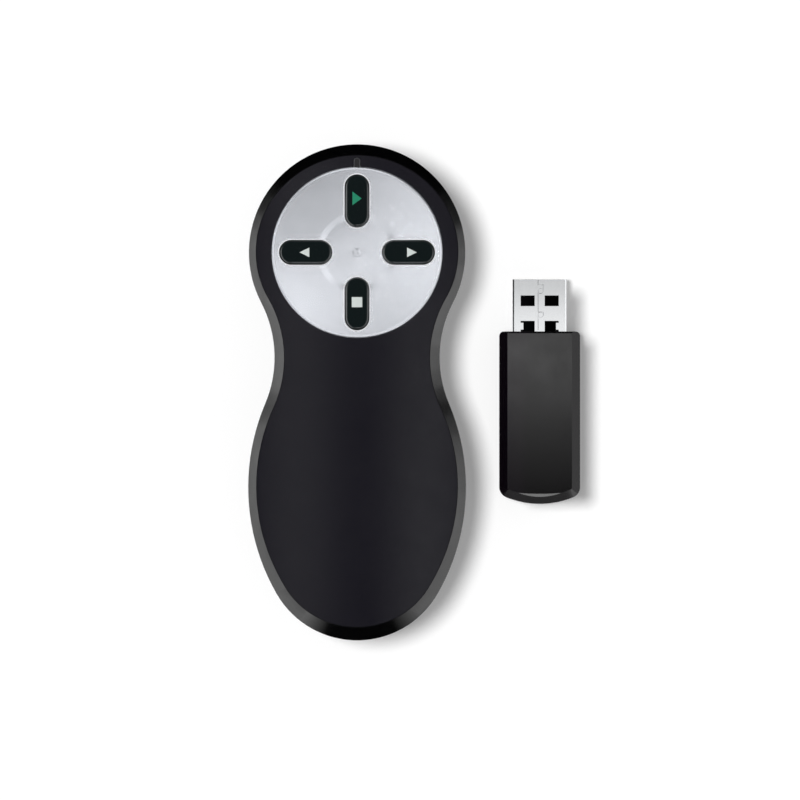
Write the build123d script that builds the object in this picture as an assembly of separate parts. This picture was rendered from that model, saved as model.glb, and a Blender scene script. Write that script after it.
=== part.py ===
from build123d import *
from math import atan2, degrees, sqrt
import os

# Wireless presentation clicker with its USB receiver. Millimetres, +Z up.
# The handle lies on its back on the table (z = 0). The origin is on the table, below the centre of the
# round thumb disc; +Y points to the head, -Y to the tail, and the receiver lies on the +X side.

# ---- driving dimensions: outline of the handle, seen from above ----
HEAD_RADIUS = 23.7  # round head, centred on the origin
WAIST_RADIUS = 26.0  # hollow in each flank
TAIL_SIDE_RADIUS = 46.9  # long side arcs of the grip
TAIL_HALF_WIDTH = 23.85  # widest point of the grip
TAIL_WIDEST_AT = 51.4  # from the head's centre back to the widest point
TAIL_ROOM = 8.16  # from the battery compartment back to the end of the tail

# ---- case ----
WALL = 1.8  # side and bottom walls
BELLY_RADIUS = 9.0  # rounding all round the underside
NOSE_START = 6.0  # the flat underside ends here and lifts towards the nose
NOSE_RADIUS = 50.0  # side-view radius of that lift
BEVEL_RISE = 2.6  # from the foot of the bevel to the top of the crown, above the origin
BEVEL_ANGLE = 45  # lean of the glossy rim band
CROWN_RADIUS = 250.0  # broad side-to-side curve of the top
CROWN_TILT = 0.28  # degrees: the top rises a little towards the tail
LIP_HEIGHT = 1.0  # centring lip where the two cases meet
LIP_WIDTH = 0.9
LIP_GAP = 0.1
PARTING_GROOVE = 0.3  # shadow line round the joint of the two cases: its height
PARTING_GROOVE_DEPTH = 0.25
SEAM_GAP = 0.1  # shadow gap between the top panel and the case
PANEL_THICKNESS = 1.3
MOUTH_BRIDGE = 0.8  # case wall left over the mouth of the receiver bay
DECK_LEDGE = 0.6  # how far the disc's flange is let up into the deck

# ---- thumb disc ----
DISC_RADIUS = 18.65
DISC_GAP = 0.1  # round gap between disc and case
DISC_PROUD = 0.15  # rim above the crown line
DISC_FLANGE = 0.8  # thickness of the hidden flange
DISC_FLANGE_REACH = 1.55  # flange beyond the disc
DISC_RIM_WIDTH = 0.45
DISH_DEPTH = 0.9  # from rim to ring step
RING_RADIUS = 8.75
RING_STEP = 0.26
RING_RUN = 1.3  # width of the sloping band that falls by the step
HUB_DEPTH = 0.25  # centre of the dish below the ring step
PIP_RADIUS = 1.1  # small bump in the middle
PIP_HEIGHT = 0.18
DISC_BOSS_AT = 14.0  # four screw bosses on the diagonals
DISC_BOSS_RADIUS = 2.1

# ---- buttons ----
BUTTON_AT = 11.25  # from the disc's centre to each button's centre
SLOT_LENGTH = 11.7
SLOT_WIDTH = 5.5
BUTTON_GAP = 0.15  # all round in the slot
BUTTON_PROUD = 0.75  # top above the dish at the button's centre
BUTTON_EDGE = 0.7  # rounding of the top edge
BUTTON_FLANGE = 0.8  # thickness of the retaining flange
BUTTON_FLANGE_REACH = 0.65  # beyond the slot
BUTTON_PLAY = 0.05  # flange to the underside of the disc
BUTTON_STEM = 0.5
BUTTON_STEM_RADIUS = 1.75

# ---- key switches and circuit board ----
SWITCH_SIDE = 6.0
SWITCH_HEIGHT = 3.1
PLUNGER_RADIUS = 1.7
PLUNGER_RISE = 0.7  # above the switch body
PLUNGER_DEPTH = 0.4  # inside the switch body
PLUNGER_FIT = 0.06  # radial
SWITCH_BORE_DEPTH = 1.2
BOARD_ROOM = 2.3  # board to the side wall in the head
BOARD_TAIL_HALF_WIDTH = 8.8
BOARD_TAIL_REACH = 29.0
BOARD_THICKNESS = 1.2
BOARD_POST_X = 6.0
BOARD_POST_Y = 15.4
BOARD_POST_RADIUS = 1.8
CHIP_SIDE = 5.0
CHIP_HEIGHT = 0.9
CHIP_Y = -6.5
CRYSTAL_LENGTH = 3.2
CRYSTAL_WIDTH = 2.5
CRYSTAL_HEIGHT = 0.8
CRYSTAL_GAP = 1.2  # from the chip
PASSIVE_LENGTH = 1.6
PASSIVE_WIDTH = 0.8
PASSIVE_HEIGHT = 0.6
PASSIVE_PITCH = 2.4
PASSIVE_COUNT = 5
LED_LENGTH = 1.6
LED_WIDTH = 0.8
LED_HEIGHT = 0.7

# ---- light guide, the small arched window above the disc ----
GUIDE_HALF_WIDTH = 0.7
GUIDE_REACH = 2.1  # outwards from the disc
GUIDE_GAP = 0.06
GUIDE_LIFT = 0.3  # foot above the LED

# ---- screws ----
BOARD_SCREW_RADIUS = 0.9
BOARD_SCREW_LENGTH = 5.0
BOARD_SCREW_HEAD_RADIUS = 1.7
BOARD_SCREW_HEAD = 1.2
CASE_SCREW_RADIUS = 1.1
CASE_SCREW_LENGTH = 13.0
CASE_SCREW_HEAD_RADIUS = 2.1
CASE_SCREW_HEAD = 1.5
CASE_SCREW_SEAT_Z = 6.0
CASE_SCREW_WELL_GAP = 0.4  # counterbore beyond the head
SCREW_FIT = 0.03  # radial, shank in its pilot hole
SCREW_PASS = 0.2  # radial, shank in its clearance hole
SCREW_TIP_ROOM = 0.6
CASE_POST_WALL = 1.1
POST_BITE = 0.3  # how far the waist posts run into the side wall
CASE_BOSS_RADIUS = 2.9
RECESS_WIDTH = 0.5  # cross recess in the screw heads
RECESS_DEPTH = 0.6
WAIST_SCREW_ROOM = 0.8  # boss to the board's round end
TAIL_SCREW_Y = -58.0

# ---- battery compartment: two AAA cells side by side ----
CELL_DIAMETER = 10.5
CELL_LENGTH = 44.5  # with the positive tip
CELL_TIP_LENGTH = 0.8
CELL_TIP_RADIUS = 1.9
CELL_GAP = 0.3  # to the door and the side walls
CELL_SPACING = 0.2  # between the two cells
ROOF_GAP = 0.15
ROOF = 0.9  # compartment roof, which is also the floor of the receiver bay
COMPARTMENT_FRONT = -27.45
COMPARTMENT_WALL = 1.2
CONTACT_THICKNESS = 0.4
CONTACT_HALF_WIDTH = 3.8
CONTACT_TAB_HALF_WIDTH = 1.4
CONTACT_FOOT_Z = 3.6
CONTACT_TOP_Z = 11.2
SPRING_LENGTH = 4.0
SPRING_WIRE = 0.35  # radius
SPRING_BASE_RADIUS = 3.2
SPRING_TIP_RADIUS = 2.1
SPRING_WIRE_SIDES = 6
SPRING_TURNS = 3
TOUCH = 0.02  # light contact between parts of one body

# ---- battery door, which slides out past the tail ----
DOOR_EDGE = 0.9  # door beyond the compartment on each side
DOOR_GAP = 0.15
DOOR_LIP_Z = 4.0  # how far the door turns up round the tail
RAIL_REACH = 0.9
RAIL_FRONT = -34.4
RAIL_BACK = -71.0
RAIL_THICKNESS = 0.8
RAIL_COVER = 1.2  # case wall outside the rail groove
LEDGE_HEIGHT = 1.6
TONGUE_HALF_WIDTH = 1.7
TONGUE_REACH = 3.0
TONGUE_ROOT = 3.5
TONGUE_THICKNESS = 0.8
GRIP_COUNT = 5
GRIP_PITCH = 2.2
GRIP_HALF_LENGTH = 6.5
GRIP_RADIUS = 0.9
GRIP_DEPTH = 0.45
GRIP_CENTRE = -66.0

# ---- receiver ----
RECEIVER_X = 40.2  # centre line, beside the handle
RECEIVER_TIP_Y = -5.7  # end of the plug
RECEIVER_WIDTH = 17.8
RECEIVER_THICKNESS = 7.6
RECEIVER_LENGTH = 38.0  # housing alone
RECEIVER_END_RADIUS = 19.5
RECEIVER_CORNER = 1.0  # beside the plug
RECEIVER_SHOULDER = 2.4  # where the sides turn into the curved end
RECEIVER_BEVEL = 1.8  # along the sides and round the end of the upper shell
RECEIVER_BELLY = 1.2  # same edges of the lower shell
RECEIVER_BROW = 0.4  # edge over the plug
RECEIVER_WALL = 1.2
RECEIVER_CAVITY_SIDE = 1.75  # side walls, thicker because of the bevels
FACET_REACH = 0.42  # how far the crescent facet at the end reaches in from the bevel, at its widest
FACET_RADIUS = 52.0  # inner border of the facet
FACET_RUN = 2.75  # how far the facet runs out for each millimetre that it falls
PLUG_WIDTH = 12.0
PLUG_THICKNESS = 4.5
PLUG_REACH = 11.5  # outside the housing
PLUG_ROOT = 5.0  # inside the housing
PLUG_SHEET = 0.3
PLUG_CORNER = 0.55
PLUG_FIT = 0.04
WINDOW_INNER = 1.1  # from the centre line to the near edge of each window
WINDOW_WIDTH = 3.1
WINDOW_LENGTH = 2.35
WINDOW_ROW_1 = 3.55  # from the tip
WINDOW_ROW_2 = 9.15
WINDOW_2_LENGTH = 3.4
WINDOW_TAB = 0.6  # tongue that reaches into the second row from outside
WINDOW_TAB_MARGIN = 0.42
SEAM_X = -0.35  # the sheet's joint, a little off centre
SEAM_WIDTH = 0.16
SEAM_DEPTH = 0.12
LOCK_1 = 1.4  # the two interlocking tabs of the joint, from the tip
LOCK_2 = 7.2
LOCK_LENGTH = 1.7
LOCK_REACH = 1.2
INSULATOR_THICKNESS = 1.95
INSULATOR_GAP = 0.05
INSULATOR_SETBACK = 0.6
INSULATOR_SEAT = 2.0  # how far it lies over the board
PIN_WIDTH = 1.0
PIN_THICKNESS = 0.2
PIN_LENGTH = 7.4
PIN_SHORT = 1.0  # how much the two inner pins fall short
PIN_SETBACK = 1.2
PIN_OUTER_AT = 3.5
PIN_INNER_AT = 1.0
RECEIVER_GROOVE = 0.2  # shadow line round the joint of the two shells: its height
RECEIVER_GROOVE_DEPTH = 0.2
RECEIVER_BOARD_GAP = 0.5  # to the side walls
RECEIVER_BOARD_LENGTH = 25.0
RECEIVER_BOARD_THICKNESS = 1.0
RECEIVER_RIB = 1.0
RECEIVER_RIB_X = 4.6
BAY_GAP = 0.25  # round the receiver in its bay
BAY_WALL = 1.2
BAY_END_GAP = 0.4

# ---- levels and places that follow from them ----
CELL_Z = WALL + CELL_GAP + CELL_DIAMETER / 2
CELL_X = CELL_DIAMETER / 2 + CELL_SPACING / 2
ROOF_UNDER_Z = CELL_Z + CELL_DIAMETER / 2 + ROOF_GAP
PARTING_Z = ROOF_UNDER_Z + ROOF
BAY_CEILING_Z = PARTING_Z + RECEIVER_THICKNESS + 2 * BAY_GAP
DECK_UNDER_Z = BAY_CEILING_Z
BEVEL_BASE_Z = BAY_CEILING_Z + MOUTH_BRIDGE
CROWN_Z = BEVEL_BASE_Z + BEVEL_RISE
DISC_SEAT_Z = DECK_UNDER_Z + DECK_LEDGE
DISC_RIM_Z = CROWN_Z + DISC_PROUD
FLANGE_RADIUS = DISC_RADIUS + DISC_FLANGE_REACH
STEP_Z = DISC_RIM_Z - DISH_DEPTH
DISH_RADIUS = DISC_RADIUS - DISC_RIM_WIDTH
BUTTON_FLANGE_TOP_Z = DISC_SEAT_Z - BUTTON_PLAY
BUTTON_FLANGE_UNDER_Z = BUTTON_FLANGE_TOP_Z - BUTTON_FLANGE
BUTTON_DISH_Z = STEP_Z + DISH_DEPTH * (BUTTON_AT - RING_RADIUS) / (DISH_RADIUS - RING_RADIUS)
BUTTON_TOP_Z = BUTTON_DISH_Z + BUTTON_PROUD
PLUNGER_TOP_Z = BUTTON_FLANGE_UNDER_Z - BUTTON_STEM
BOARD_RADIUS = HEAD_RADIUS - WALL - BOARD_ROOM
SWITCH_TOP_Z = PLUNGER_TOP_Z - PLUNGER_RISE
BOARD_TOP_Z = SWITCH_TOP_Z - SWITCH_HEIGHT
BOARD_UNDER_Z = BOARD_TOP_Z - BOARD_THICKNESS
COMPARTMENT_HALF = CELL_X + CELL_DIAMETER / 2 + CELL_GAP
COMPARTMENT_LENGTH = CELL_LENGTH + SPRING_LENGTH + 2 * CONTACT_THICKNESS + 2 * TOUCH
COMPARTMENT_BACK = COMPARTMENT_FRONT - COMPARTMENT_LENGTH
TAIL_REACH = TAIL_ROOM - COMPARTMENT_BACK
DOOR_HALF = COMPARTMENT_HALF + DOOR_EDGE
DOOR_FRONT = COMPARTMENT_FRONT - DOOR_GAP
RAIL_HALF = DOOR_HALF + RAIL_REACH
GROOVE_HALF = RAIL_HALF + DOOR_GAP
CASE_WELL_RADIUS = CASE_SCREW_HEAD_RADIUS + CASE_SCREW_WELL_GAP
CASE_POST_RADIUS = CASE_WELL_RADIUS + CASE_POST_WALL
TAIL_SCREW_X = GROOVE_HALF + CASE_POST_WALL / 2 + CASE_WELL_RADIUS
BAY_HALF = RECEIVER_WIDTH / 2 + BAY_GAP
BAY_FRONT = -TAIL_REACH + RECEIVER_LENGTH + PLUG_REACH + BAY_END_GAP
HOUSING_FRONT_Y = RECEIVER_TIP_Y - PLUG_REACH
HOUSING_BACK_Y = HOUSING_FRONT_Y - RECEIVER_LENGTH
PLUG_MIDDLE_Z = RECEIVER_THICKNESS / 2
PLUG_TOP_Z = PLUG_MIDDLE_Z + PLUG_THICKNESS / 2
INSULATOR_TOP_Z = PLUG_TOP_Z - PLUG_SHEET - INSULATOR_GAP
INSULATOR_UNDER_Z = INSULATOR_TOP_Z - INSULATOR_THICKNESS
RECEIVER_BOARD_TOP_Z = INSULATOR_UNDER_Z
RECEIVER_BOARD_UNDER_Z = RECEIVER_BOARD_TOP_Z - RECEIVER_BOARD_THICKNESS
RECEIVER_BOARD_FRONT_Y = HOUSING_FRONT_Y - PLUG_ROOT - TOUCH
INSULATOR_BACK_Y = RECEIVER_BOARD_FRONT_Y - INSULATOR_SEAT
FAR = 200.0  # beyond everything, for cutting tools
PAST = 1.0  # how far a cutting tool runs past the face that it opens


def block(x_range, y_range, z_range):
    """A box between two corners."""
    ranges = (x_range, y_range, z_range)
    sides = [high - low for low, high in ranges]
    middle = [(high + low) / 2 for low, high in ranges]
    return Pos(*middle) * Box(*sides)


def rod(x, y, low_z, high_z, radius):
    """An upright cylinder."""
    return Pos(x, y, (low_z + high_z) / 2) * Cylinder(radius, high_z - low_z)


def rod_along_y(x, z, y_range, radius):
    """A cylinder lying along Y."""
    low, high = y_range
    return Pos(x, (low + high) / 2, z) * Rot(90, 0, 0) * Cylinder(radius, high - low)


def both_sides(x_low, x_high, y_range, z_range):
    """The same block at +X and at -X."""
    right = block((x_low, x_high), y_range, z_range)
    return right + mirror(right, about=Plane.YZ)


# ---- the handle's outer form ----


def outline_centres():
    """Centres of the waist, tail side and tail end arcs on the +X side; all arcs are tangent."""
    side = Vector(TAIL_HALF_WIDTH - TAIL_SIDE_RADIUS, -TAIL_WIDEST_AT)
    reach = TAIL_SIDE_RADIUS - TAIL_REACH
    end_y = (reach**2 - side.X**2 - side.Y**2) / (2 * (reach - side.Y))
    head_to_waist = HEAD_RADIUS + WAIST_RADIUS
    side_to_waist = TAIL_SIDE_RADIUS + WAIST_RADIUS
    spread = side.length
    along = (head_to_waist**2 - side_to_waist**2 + spread**2) / (2 * spread)
    across = sqrt(head_to_waist**2 - along**2)
    direction = side.normalized()
    waist = direction * along + Vector(-direction.Y, direction.X) * across
    return waist, side, Vector(0, end_y)


def outline(inset=0.0):
    """The handle seen from above, drawn in by an inset."""
    waist, side, end = outline_centres()
    head_radius = HEAD_RADIUS - inset
    side_radius = TAIL_SIDE_RADIUS - inset
    end_radius = end.Y + TAIL_REACH - inset
    waist_radius = WAIST_RADIUS + inset
    head_to_waist = waist.normalized() * head_radius
    waist_to_side = side + (waist - side).normalized() * side_radius
    side_to_end = end + (end - side).normalized() * end_radius
    mid_waist = waist + ((head_to_waist + waist_to_side) / 2 - waist).normalized() * waist_radius
    mid_side = side + ((waist_to_side + side_to_end) / 2 - side).normalized() * side_radius
    tip = Vector(0, end.Y - end_radius)
    crest = Vector(0, head_radius)
    right = [crest, head_to_waist, mid_waist, waist_to_side, mid_side, side_to_end]
    left = [Vector(-point.X, point.Y) for point in right]
    edges = [
        ThreePointArc(left[1], left[2], left[3]),
        ThreePointArc(left[3], left[4], left[5]),
        ThreePointArc(left[5], tip, right[5]),
        ThreePointArc(right[5], right[4], right[3]),
        ThreePointArc(right[3], right[2], right[1]),
        ThreePointArc(right[1], crest, left[1]),
    ]
    return make_face(edges)


def waist_half_width(y):
    """Half the handle's width at a place in the waist."""
    waist = outline_centres()[0]
    return waist.X - sqrt(WAIST_RADIUS**2 - (y - waist.Y) ** 2)


def prism(inset, low_z, high_z):
    """An upright block with the handle's outline."""
    return Pos(0, 0, low_z) * extrude(outline(inset), high_z - low_z)


def side_profile(inset):
    """All that lies above the underside, drawn in by an inset: flat, then lifting in an arc to the nose."""
    radius = NOSE_RADIUS - inset
    run = min(HEAD_RADIUS * 1.2 - NOSE_START, radius * 0.9)
    lift = lambda distance: NOSE_RADIUS - sqrt(radius**2 - distance**2)
    flat_end = (NOSE_START, inset)
    nose_end = (NOSE_START + run, lift(run))
    edges = [
        Line((-FAR, inset), flat_end),
        ThreePointArc(flat_end, (NOSE_START + run / 2, lift(run / 2)), nose_end),
        Line(nose_end, (nose_end[0], FAR)),
        Line((nose_end[0], FAR), (-FAR, FAR)),
        Line((-FAR, FAR), (-FAR, inset)),
    ]
    return extrude(Plane.YZ * make_face(edges), FAR / 2, both=True)


def hull(inset):
    """The case below the bevel as a solid form, drawn in by an inset, with its rounded belly."""
    form = prism(inset, inset, BEVEL_BASE_Z) & side_profile(inset)
    rim = [
        edge
        for edge in form.edges()
        if edge.geom_type != GeomType.LINE and edge.bounding_box().max.Z < PARTING_Z
    ]
    return fillet(rim, BELLY_RADIUS - inset)


def crown(drop):
    """All that lies below the broad curved top, or below the same surface lowered by a drop."""
    lay = Pos(0, 0, CROWN_Z - drop - CROWN_RADIUS) * Rot(90 - CROWN_TILT, 0, 0)
    return lay * Cylinder(CROWN_RADIUS, 2 * FAR)


def bevelled_top(lift=0.0):
    """The slice above the bevel's foot: sides leaning in, curved crown on top."""
    slope = extrude(outline(), 2 * BEVEL_RISE, taper=BEVEL_ANGLE)
    return Pos(0, 0, BEVEL_BASE_Z + lift) * slope & crown(0)


def crown_slab(lift, thickness):
    """A slab of even depth under the crown, out to the bevel's upper edge."""
    face = bevelled_top(lift).faces().filter_by(GeomType.CYLINDER).sort_by(SortBy.AREA)[-1]
    return Solid.extrude(face, (0, 0, -thickness))


def guide_arch(gap, low_z, high_z):
    """The arched window's outline as an upright block, open towards the disc."""
    half = GUIDE_HALF_WIDTH + gap
    arch_y = DISC_RADIUS + GUIDE_REACH - GUIDE_HALF_WIDTH
    leg = block((-half, half), (DISC_RADIUS - gap, arch_y), (low_z, high_z))
    return leg + rod(0, arch_y, low_z, high_z, half)


# ---- the handle's shells ----


def case_screw_places():
    """Two screws in the waist, clear of the round board, and two in the tail beside the door."""
    waist_x = outline_centres()[0].X - WAIST_RADIUS - WALL - CASE_POST_RADIUS + POST_BITE
    from_centre = BOARD_RADIUS + WAIST_SCREW_ROOM + CASE_BOSS_RADIUS
    waist_y = -sqrt(from_centre**2 - waist_x**2)
    right = [(waist_x, waist_y), (TAIL_SCREW_X, TAIL_SCREW_Y)]
    return right + [(-x, y) for x, y in right]


def board_screw_places():
    reach = DISC_BOSS_AT / sqrt(2)
    return [(x, y) for x in (-reach, reach) for y in (-reach, reach)]


def joint_lip(side_gap, height):
    """The centring lip that stands on the lower case, or the room for it in the upper one."""
    ring = prism(WALL - LIP_WIDTH - side_gap, PARTING_Z, PARTING_Z + height)
    ring -= prism(WALL, PARTING_Z - PAST, PARTING_Z + height + PAST)
    return ring


def parting_groove():
    """What the shadow line takes away, half of it from each case."""
    low_z = PARTING_Z - PARTING_GROOVE / 2
    high_z = PARTING_Z + PARTING_GROOVE / 2
    return prism(-PAST, low_z, high_z) - prism(PARTING_GROOVE_DEPTH, low_z - PAST, high_z + PAST)


def battery_compartment():
    """Walls and roof of the compartment, and the ledges over the door's rails."""
    outer = COMPARTMENT_HALF + COMPARTMENT_WALL
    y_range = (COMPARTMENT_BACK - COMPARTMENT_WALL, COMPARTMENT_FRONT + COMPARTMENT_WALL)
    walls = block((-outer, outer), y_range, (WALL / 2, PARTING_Z))
    walls += block((-outer, outer), (-FAR, COMPARTMENT_FRONT), (ROOF_UNDER_Z, PARTING_Z))
    ledge_x = GROOVE_HALF + RAIL_COVER
    ledge_z = WALL + DOOR_GAP + LEDGE_HEIGHT
    walls += both_sides(COMPARTMENT_HALF, ledge_x, y_range, (WALL / 2, ledge_z))
    return walls & hull(WALL / 2)


def door_curl_z():
    """Inner height of the door at its front corners, where the waist's rounding lifts it most."""
    inner_radius = BELLY_RADIUS - WALL
    run = max(DOOR_HALF - waist_half_width(DOOR_FRONT) + BELLY_RADIUS, 0)
    return WALL + inner_radius - sqrt(inner_radius**2 - run**2)


def door_opening():
    """Everything in the lower case that makes way for the door, its rails and its tongue."""
    half = DOOR_HALF + DOOR_GAP
    top = door_curl_z() + DOOR_GAP
    room = block((-half, half), (-FAR, COMPARTMENT_FRONT), (-PAST, top))
    lip_room = block((-half, half), (-FAR, COMPARTMENT_FRONT), (-PAST, DOOR_LIP_Z + DOOR_GAP))
    room += lip_room - hull(WALL + DOOR_GAP)
    groove_low = WALL - RAIL_THICKNESS - DOOR_GAP
    groove_top = WALL + DOOR_GAP
    room += block((-GROOVE_HALF, GROOVE_HALF), (-FAR, RAIL_FRONT + DOOR_GAP), (groove_low, groove_top))
    tongue = TONGUE_HALF_WIDTH + DOOR_GAP
    tongue_y = COMPARTMENT_FRONT + max(TONGUE_REACH, COMPARTMENT_WALL) + 2 * DOOR_GAP
    tongue_top = WALL + TONGUE_THICKNESS + 2 * DOOR_GAP
    return room + block((-tongue, tongue), (-FAR, tongue_y), (WALL, tongue_top))


def bottom_case():
    skin = hull(0)
    shell = skin - hull(WALL)
    shell &= block((-FAR, FAR), (-FAR, FAR), (-PAST, PARTING_Z))
    lip = joint_lip(0, LIP_HEIGHT)
    mouth = BAY_HALF + BAY_WALL + LIP_GAP
    shell += lip - block((-mouth, mouth), (-FAR, -TAIL_REACH / 2), (0, FAR))
    shell += battery_compartment()
    for x, y in case_screw_places():
        shell += rod(x, y, 0, PARTING_Z, CASE_POST_RADIUS) & skin
    for x in (-BOARD_POST_X, BOARD_POST_X):
        for y in (-BOARD_POST_Y, BOARD_POST_Y):
            shell += rod(x, y, 0, BOARD_UNDER_Z, BOARD_POST_RADIUS) & hull(WALL / 2)
    cell_room = (COMPARTMENT_BACK, COMPARTMENT_FRONT)
    shell -= block((-COMPARTMENT_HALF, COMPARTMENT_HALF), cell_room, (-PAST, ROOF_UNDER_Z))
    shell -= door_opening()
    for x in (-CELL_X, CELL_X):
        tab = CONTACT_TAB_HALF_WIDTH + CELL_GAP
        y_range = (COMPARTMENT_FRONT - CONTACT_THICKNESS - CELL_GAP, COMPARTMENT_FRONT)
        shell -= block((x - tab, x + tab), y_range, (ROOF_UNDER_Z - PAST, PARTING_Z + PAST))
    for x, y in case_screw_places():
        shell -= rod(x, y, -PAST, CASE_SCREW_SEAT_Z, CASE_WELL_RADIUS)
        shell -= rod(x, y, 0, FAR, CASE_SCREW_RADIUS + SCREW_PASS)
    return shell - parting_groove()


def upper_case():
    shell = prism(0, PARTING_Z, BEVEL_BASE_Z) + bevelled_top()
    shell -= crown_slab(SEAM_GAP, PANEL_THICKNESS)
    shell -= prism(WALL, PARTING_Z - PAST, DECK_UNDER_Z)
    bay_outer = BAY_HALF + BAY_WALL
    walls = block((-bay_outer, bay_outer), (-FAR, BAY_FRONT + BAY_WALL), (PARTING_Z, DECK_UNDER_Z))
    shell += walls & prism(WALL / 2, PARTING_Z, DECK_UNDER_Z)
    for x, y in case_screw_places():
        shell += rod(x, y, PARTING_Z, DECK_UNDER_Z, CASE_BOSS_RADIUS)
    shell -= block((-BAY_HALF, BAY_HALF), (-FAR, BAY_FRONT), (PARTING_Z - PAST, BAY_CEILING_Z))
    shell -= joint_lip(LIP_GAP, LIP_HEIGHT + LIP_GAP)
    shell -= rod(0, 0, DECK_UNDER_Z - PAST, FAR, DISC_RADIUS + DISC_GAP)
    shell -= rod(0, 0, DECK_UNDER_Z - PAST, DISC_SEAT_Z, FLANGE_RADIUS + DISC_GAP)
    shell -= guide_arch(GUIDE_GAP, DECK_UNDER_Z - PAST, FAR)
    screw_top = CASE_SCREW_SEAT_Z + CASE_SCREW_LENGTH + SCREW_TIP_ROOM
    for x, y in case_screw_places():
        shell -= rod(x, y, PARTING_Z - PAST, screw_top, CASE_SCREW_RADIUS + SCREW_FIT)
    return shell - parting_groove()


def top_panel():
    panel = crown_slab(0, PANEL_THICKNESS)
    panel -= rod(0, 0, 0, FAR, DISC_RADIUS + DISC_GAP)
    return panel - guide_arch(GUIDE_GAP, 0, FAR)


# ---- thumb disc, buttons and light guide ----


def obround(length, width, low_z, high_z):
    """A long slot form with round ends, lying along X."""
    return Pos(0, 0, low_z) * extrude(SlotOverall(length, width), high_z - low_z)


def button_place(turn):
    """Where a button sits: out from the centre and turned about it."""
    return Rot(0, 0, turn) * Pos(BUTTON_AT, 0, 0)


def thumb_disc():
    hub_z = STEP_Z - RING_STEP
    bowl_z = hub_z - HUB_DEPTH
    flange_under = DISC_SEAT_Z - DISC_FLANGE
    flange_inner = BUTTON_AT + SLOT_LENGTH / 2 + BUTTON_FLANGE_REACH + 2 * BUTTON_GAP
    crest = DISC_RADIUS - DISC_RIM_WIDTH / 2
    band_radius = RING_RADIUS - RING_RUN
    bowl_mid = (band_radius / 2, bowl_z + HUB_DEPTH / 4)
    slope_mid = ((DISH_RADIUS + RING_RADIUS) / 2, (DISC_RIM_Z + STEP_Z) / 2 - DISH_DEPTH * 0.12)
    pip_sphere = (PIP_RADIUS**2 + PIP_HEIGHT**2) / (2 * PIP_HEIGHT)
    pip_mid_z = bowl_z + PIP_HEIGHT - pip_sphere + sqrt(pip_sphere**2 - PIP_RADIUS**2 / 4)
    points = [
        (0, DISC_SEAT_Z),
        (flange_inner, DISC_SEAT_Z),
        (flange_inner, flange_under),
        (FLANGE_RADIUS, flange_under),
        (FLANGE_RADIUS, DISC_SEAT_Z),
        (DISC_RADIUS, DISC_SEAT_Z),
        (DISC_RADIUS, DISC_RIM_Z - DISC_RIM_WIDTH / 2),
    ]
    edges = [Line(start, end) for start, end in zip(points, points[1:])]
    edges += [
        ThreePointArc(
            points[-1],
            (crest + DISC_RIM_WIDTH / 2 * 0.7, DISC_RIM_Z - DISC_RIM_WIDTH / 2 * 0.3),
            (crest, DISC_RIM_Z),
        ),
        Line((crest, DISC_RIM_Z), (DISH_RADIUS, DISC_RIM_Z - DISC_RIM_WIDTH / 4)),
        ThreePointArc((DISH_RADIUS, DISC_RIM_Z - DISC_RIM_WIDTH / 4), slope_mid, (RING_RADIUS, STEP_Z)),
        Line((RING_RADIUS, STEP_Z), (band_radius, hub_z)),
        ThreePointArc((band_radius, hub_z), bowl_mid, (PIP_RADIUS, bowl_z)),
        ThreePointArc((PIP_RADIUS, bowl_z), (PIP_RADIUS / 2, pip_mid_z), (0, bowl_z + PIP_HEIGHT)),
        Line((0, bowl_z + PIP_HEIGHT), (0, DISC_SEAT_Z)),
    ]
    disc = revolve(Plane.XZ * make_face(edges), Axis.Z)
    for x, y in board_screw_places():
        disc += rod(x, y, BOARD_TOP_Z, DISC_SEAT_Z, DISC_BOSS_RADIUS)
    for turn in (0, 90, 180, 270):
        slot = obround(SLOT_LENGTH, SLOT_WIDTH, DISC_SEAT_Z - PAST, FAR)
        disc -= button_place(turn) * slot
    pilot_top = BOARD_UNDER_Z + BOARD_SCREW_LENGTH + SCREW_TIP_ROOM
    for x, y in board_screw_places():
        disc -= rod(x, y, 0, pilot_top, BOARD_SCREW_RADIUS + SCREW_FIT)
    notch = GUIDE_HALF_WIDTH + 2 * GUIDE_GAP
    notch_y = (DISC_RADIUS - GUIDE_GAP, FLANGE_RADIUS + PAST)
    disc -= block((-notch, notch), notch_y, (flange_under - PAST, DISC_SEAT_Z + GUIDE_GAP))
    return disc


def button(turn):
    length = SLOT_LENGTH - 2 * BUTTON_GAP
    width = SLOT_WIDTH - 2 * BUTTON_GAP
    cap = obround(length, width, BUTTON_FLANGE_TOP_Z, BUTTON_TOP_Z)
    cap = fillet(cap.faces().sort_by(Axis.Z)[-1].edges(), BUTTON_EDGE)
    reach = 2 * BUTTON_FLANGE_REACH
    flange = obround(SLOT_LENGTH + reach, SLOT_WIDTH + reach, BUTTON_FLANGE_UNDER_Z, BUTTON_FLANGE_TOP_Z)
    stem = rod(0, 0, PLUNGER_TOP_Z, BUTTON_FLANGE_UNDER_Z, BUTTON_STEM_RADIUS)
    return button_place(turn) * (cap + flange + stem)


def light_guide():
    low_z = BOARD_TOP_Z + LED_HEIGHT + GUIDE_LIFT
    return guide_arch(0, low_z, FAR) & crown(0)


# ---- circuit board and what is on it ----


def circuit_board():
    board = rod(0, 0, BOARD_UNDER_Z, BOARD_TOP_Z, BOARD_RADIUS)
    half = BOARD_TAIL_HALF_WIDTH
    board += block((-half, half), (-BOARD_TAIL_REACH, 0), (BOARD_UNDER_Z, BOARD_TOP_Z))
    for x, y in board_screw_places():
        board -= rod(x, y, 0, FAR, BOARD_SCREW_RADIUS + SCREW_PASS)
    return board


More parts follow.
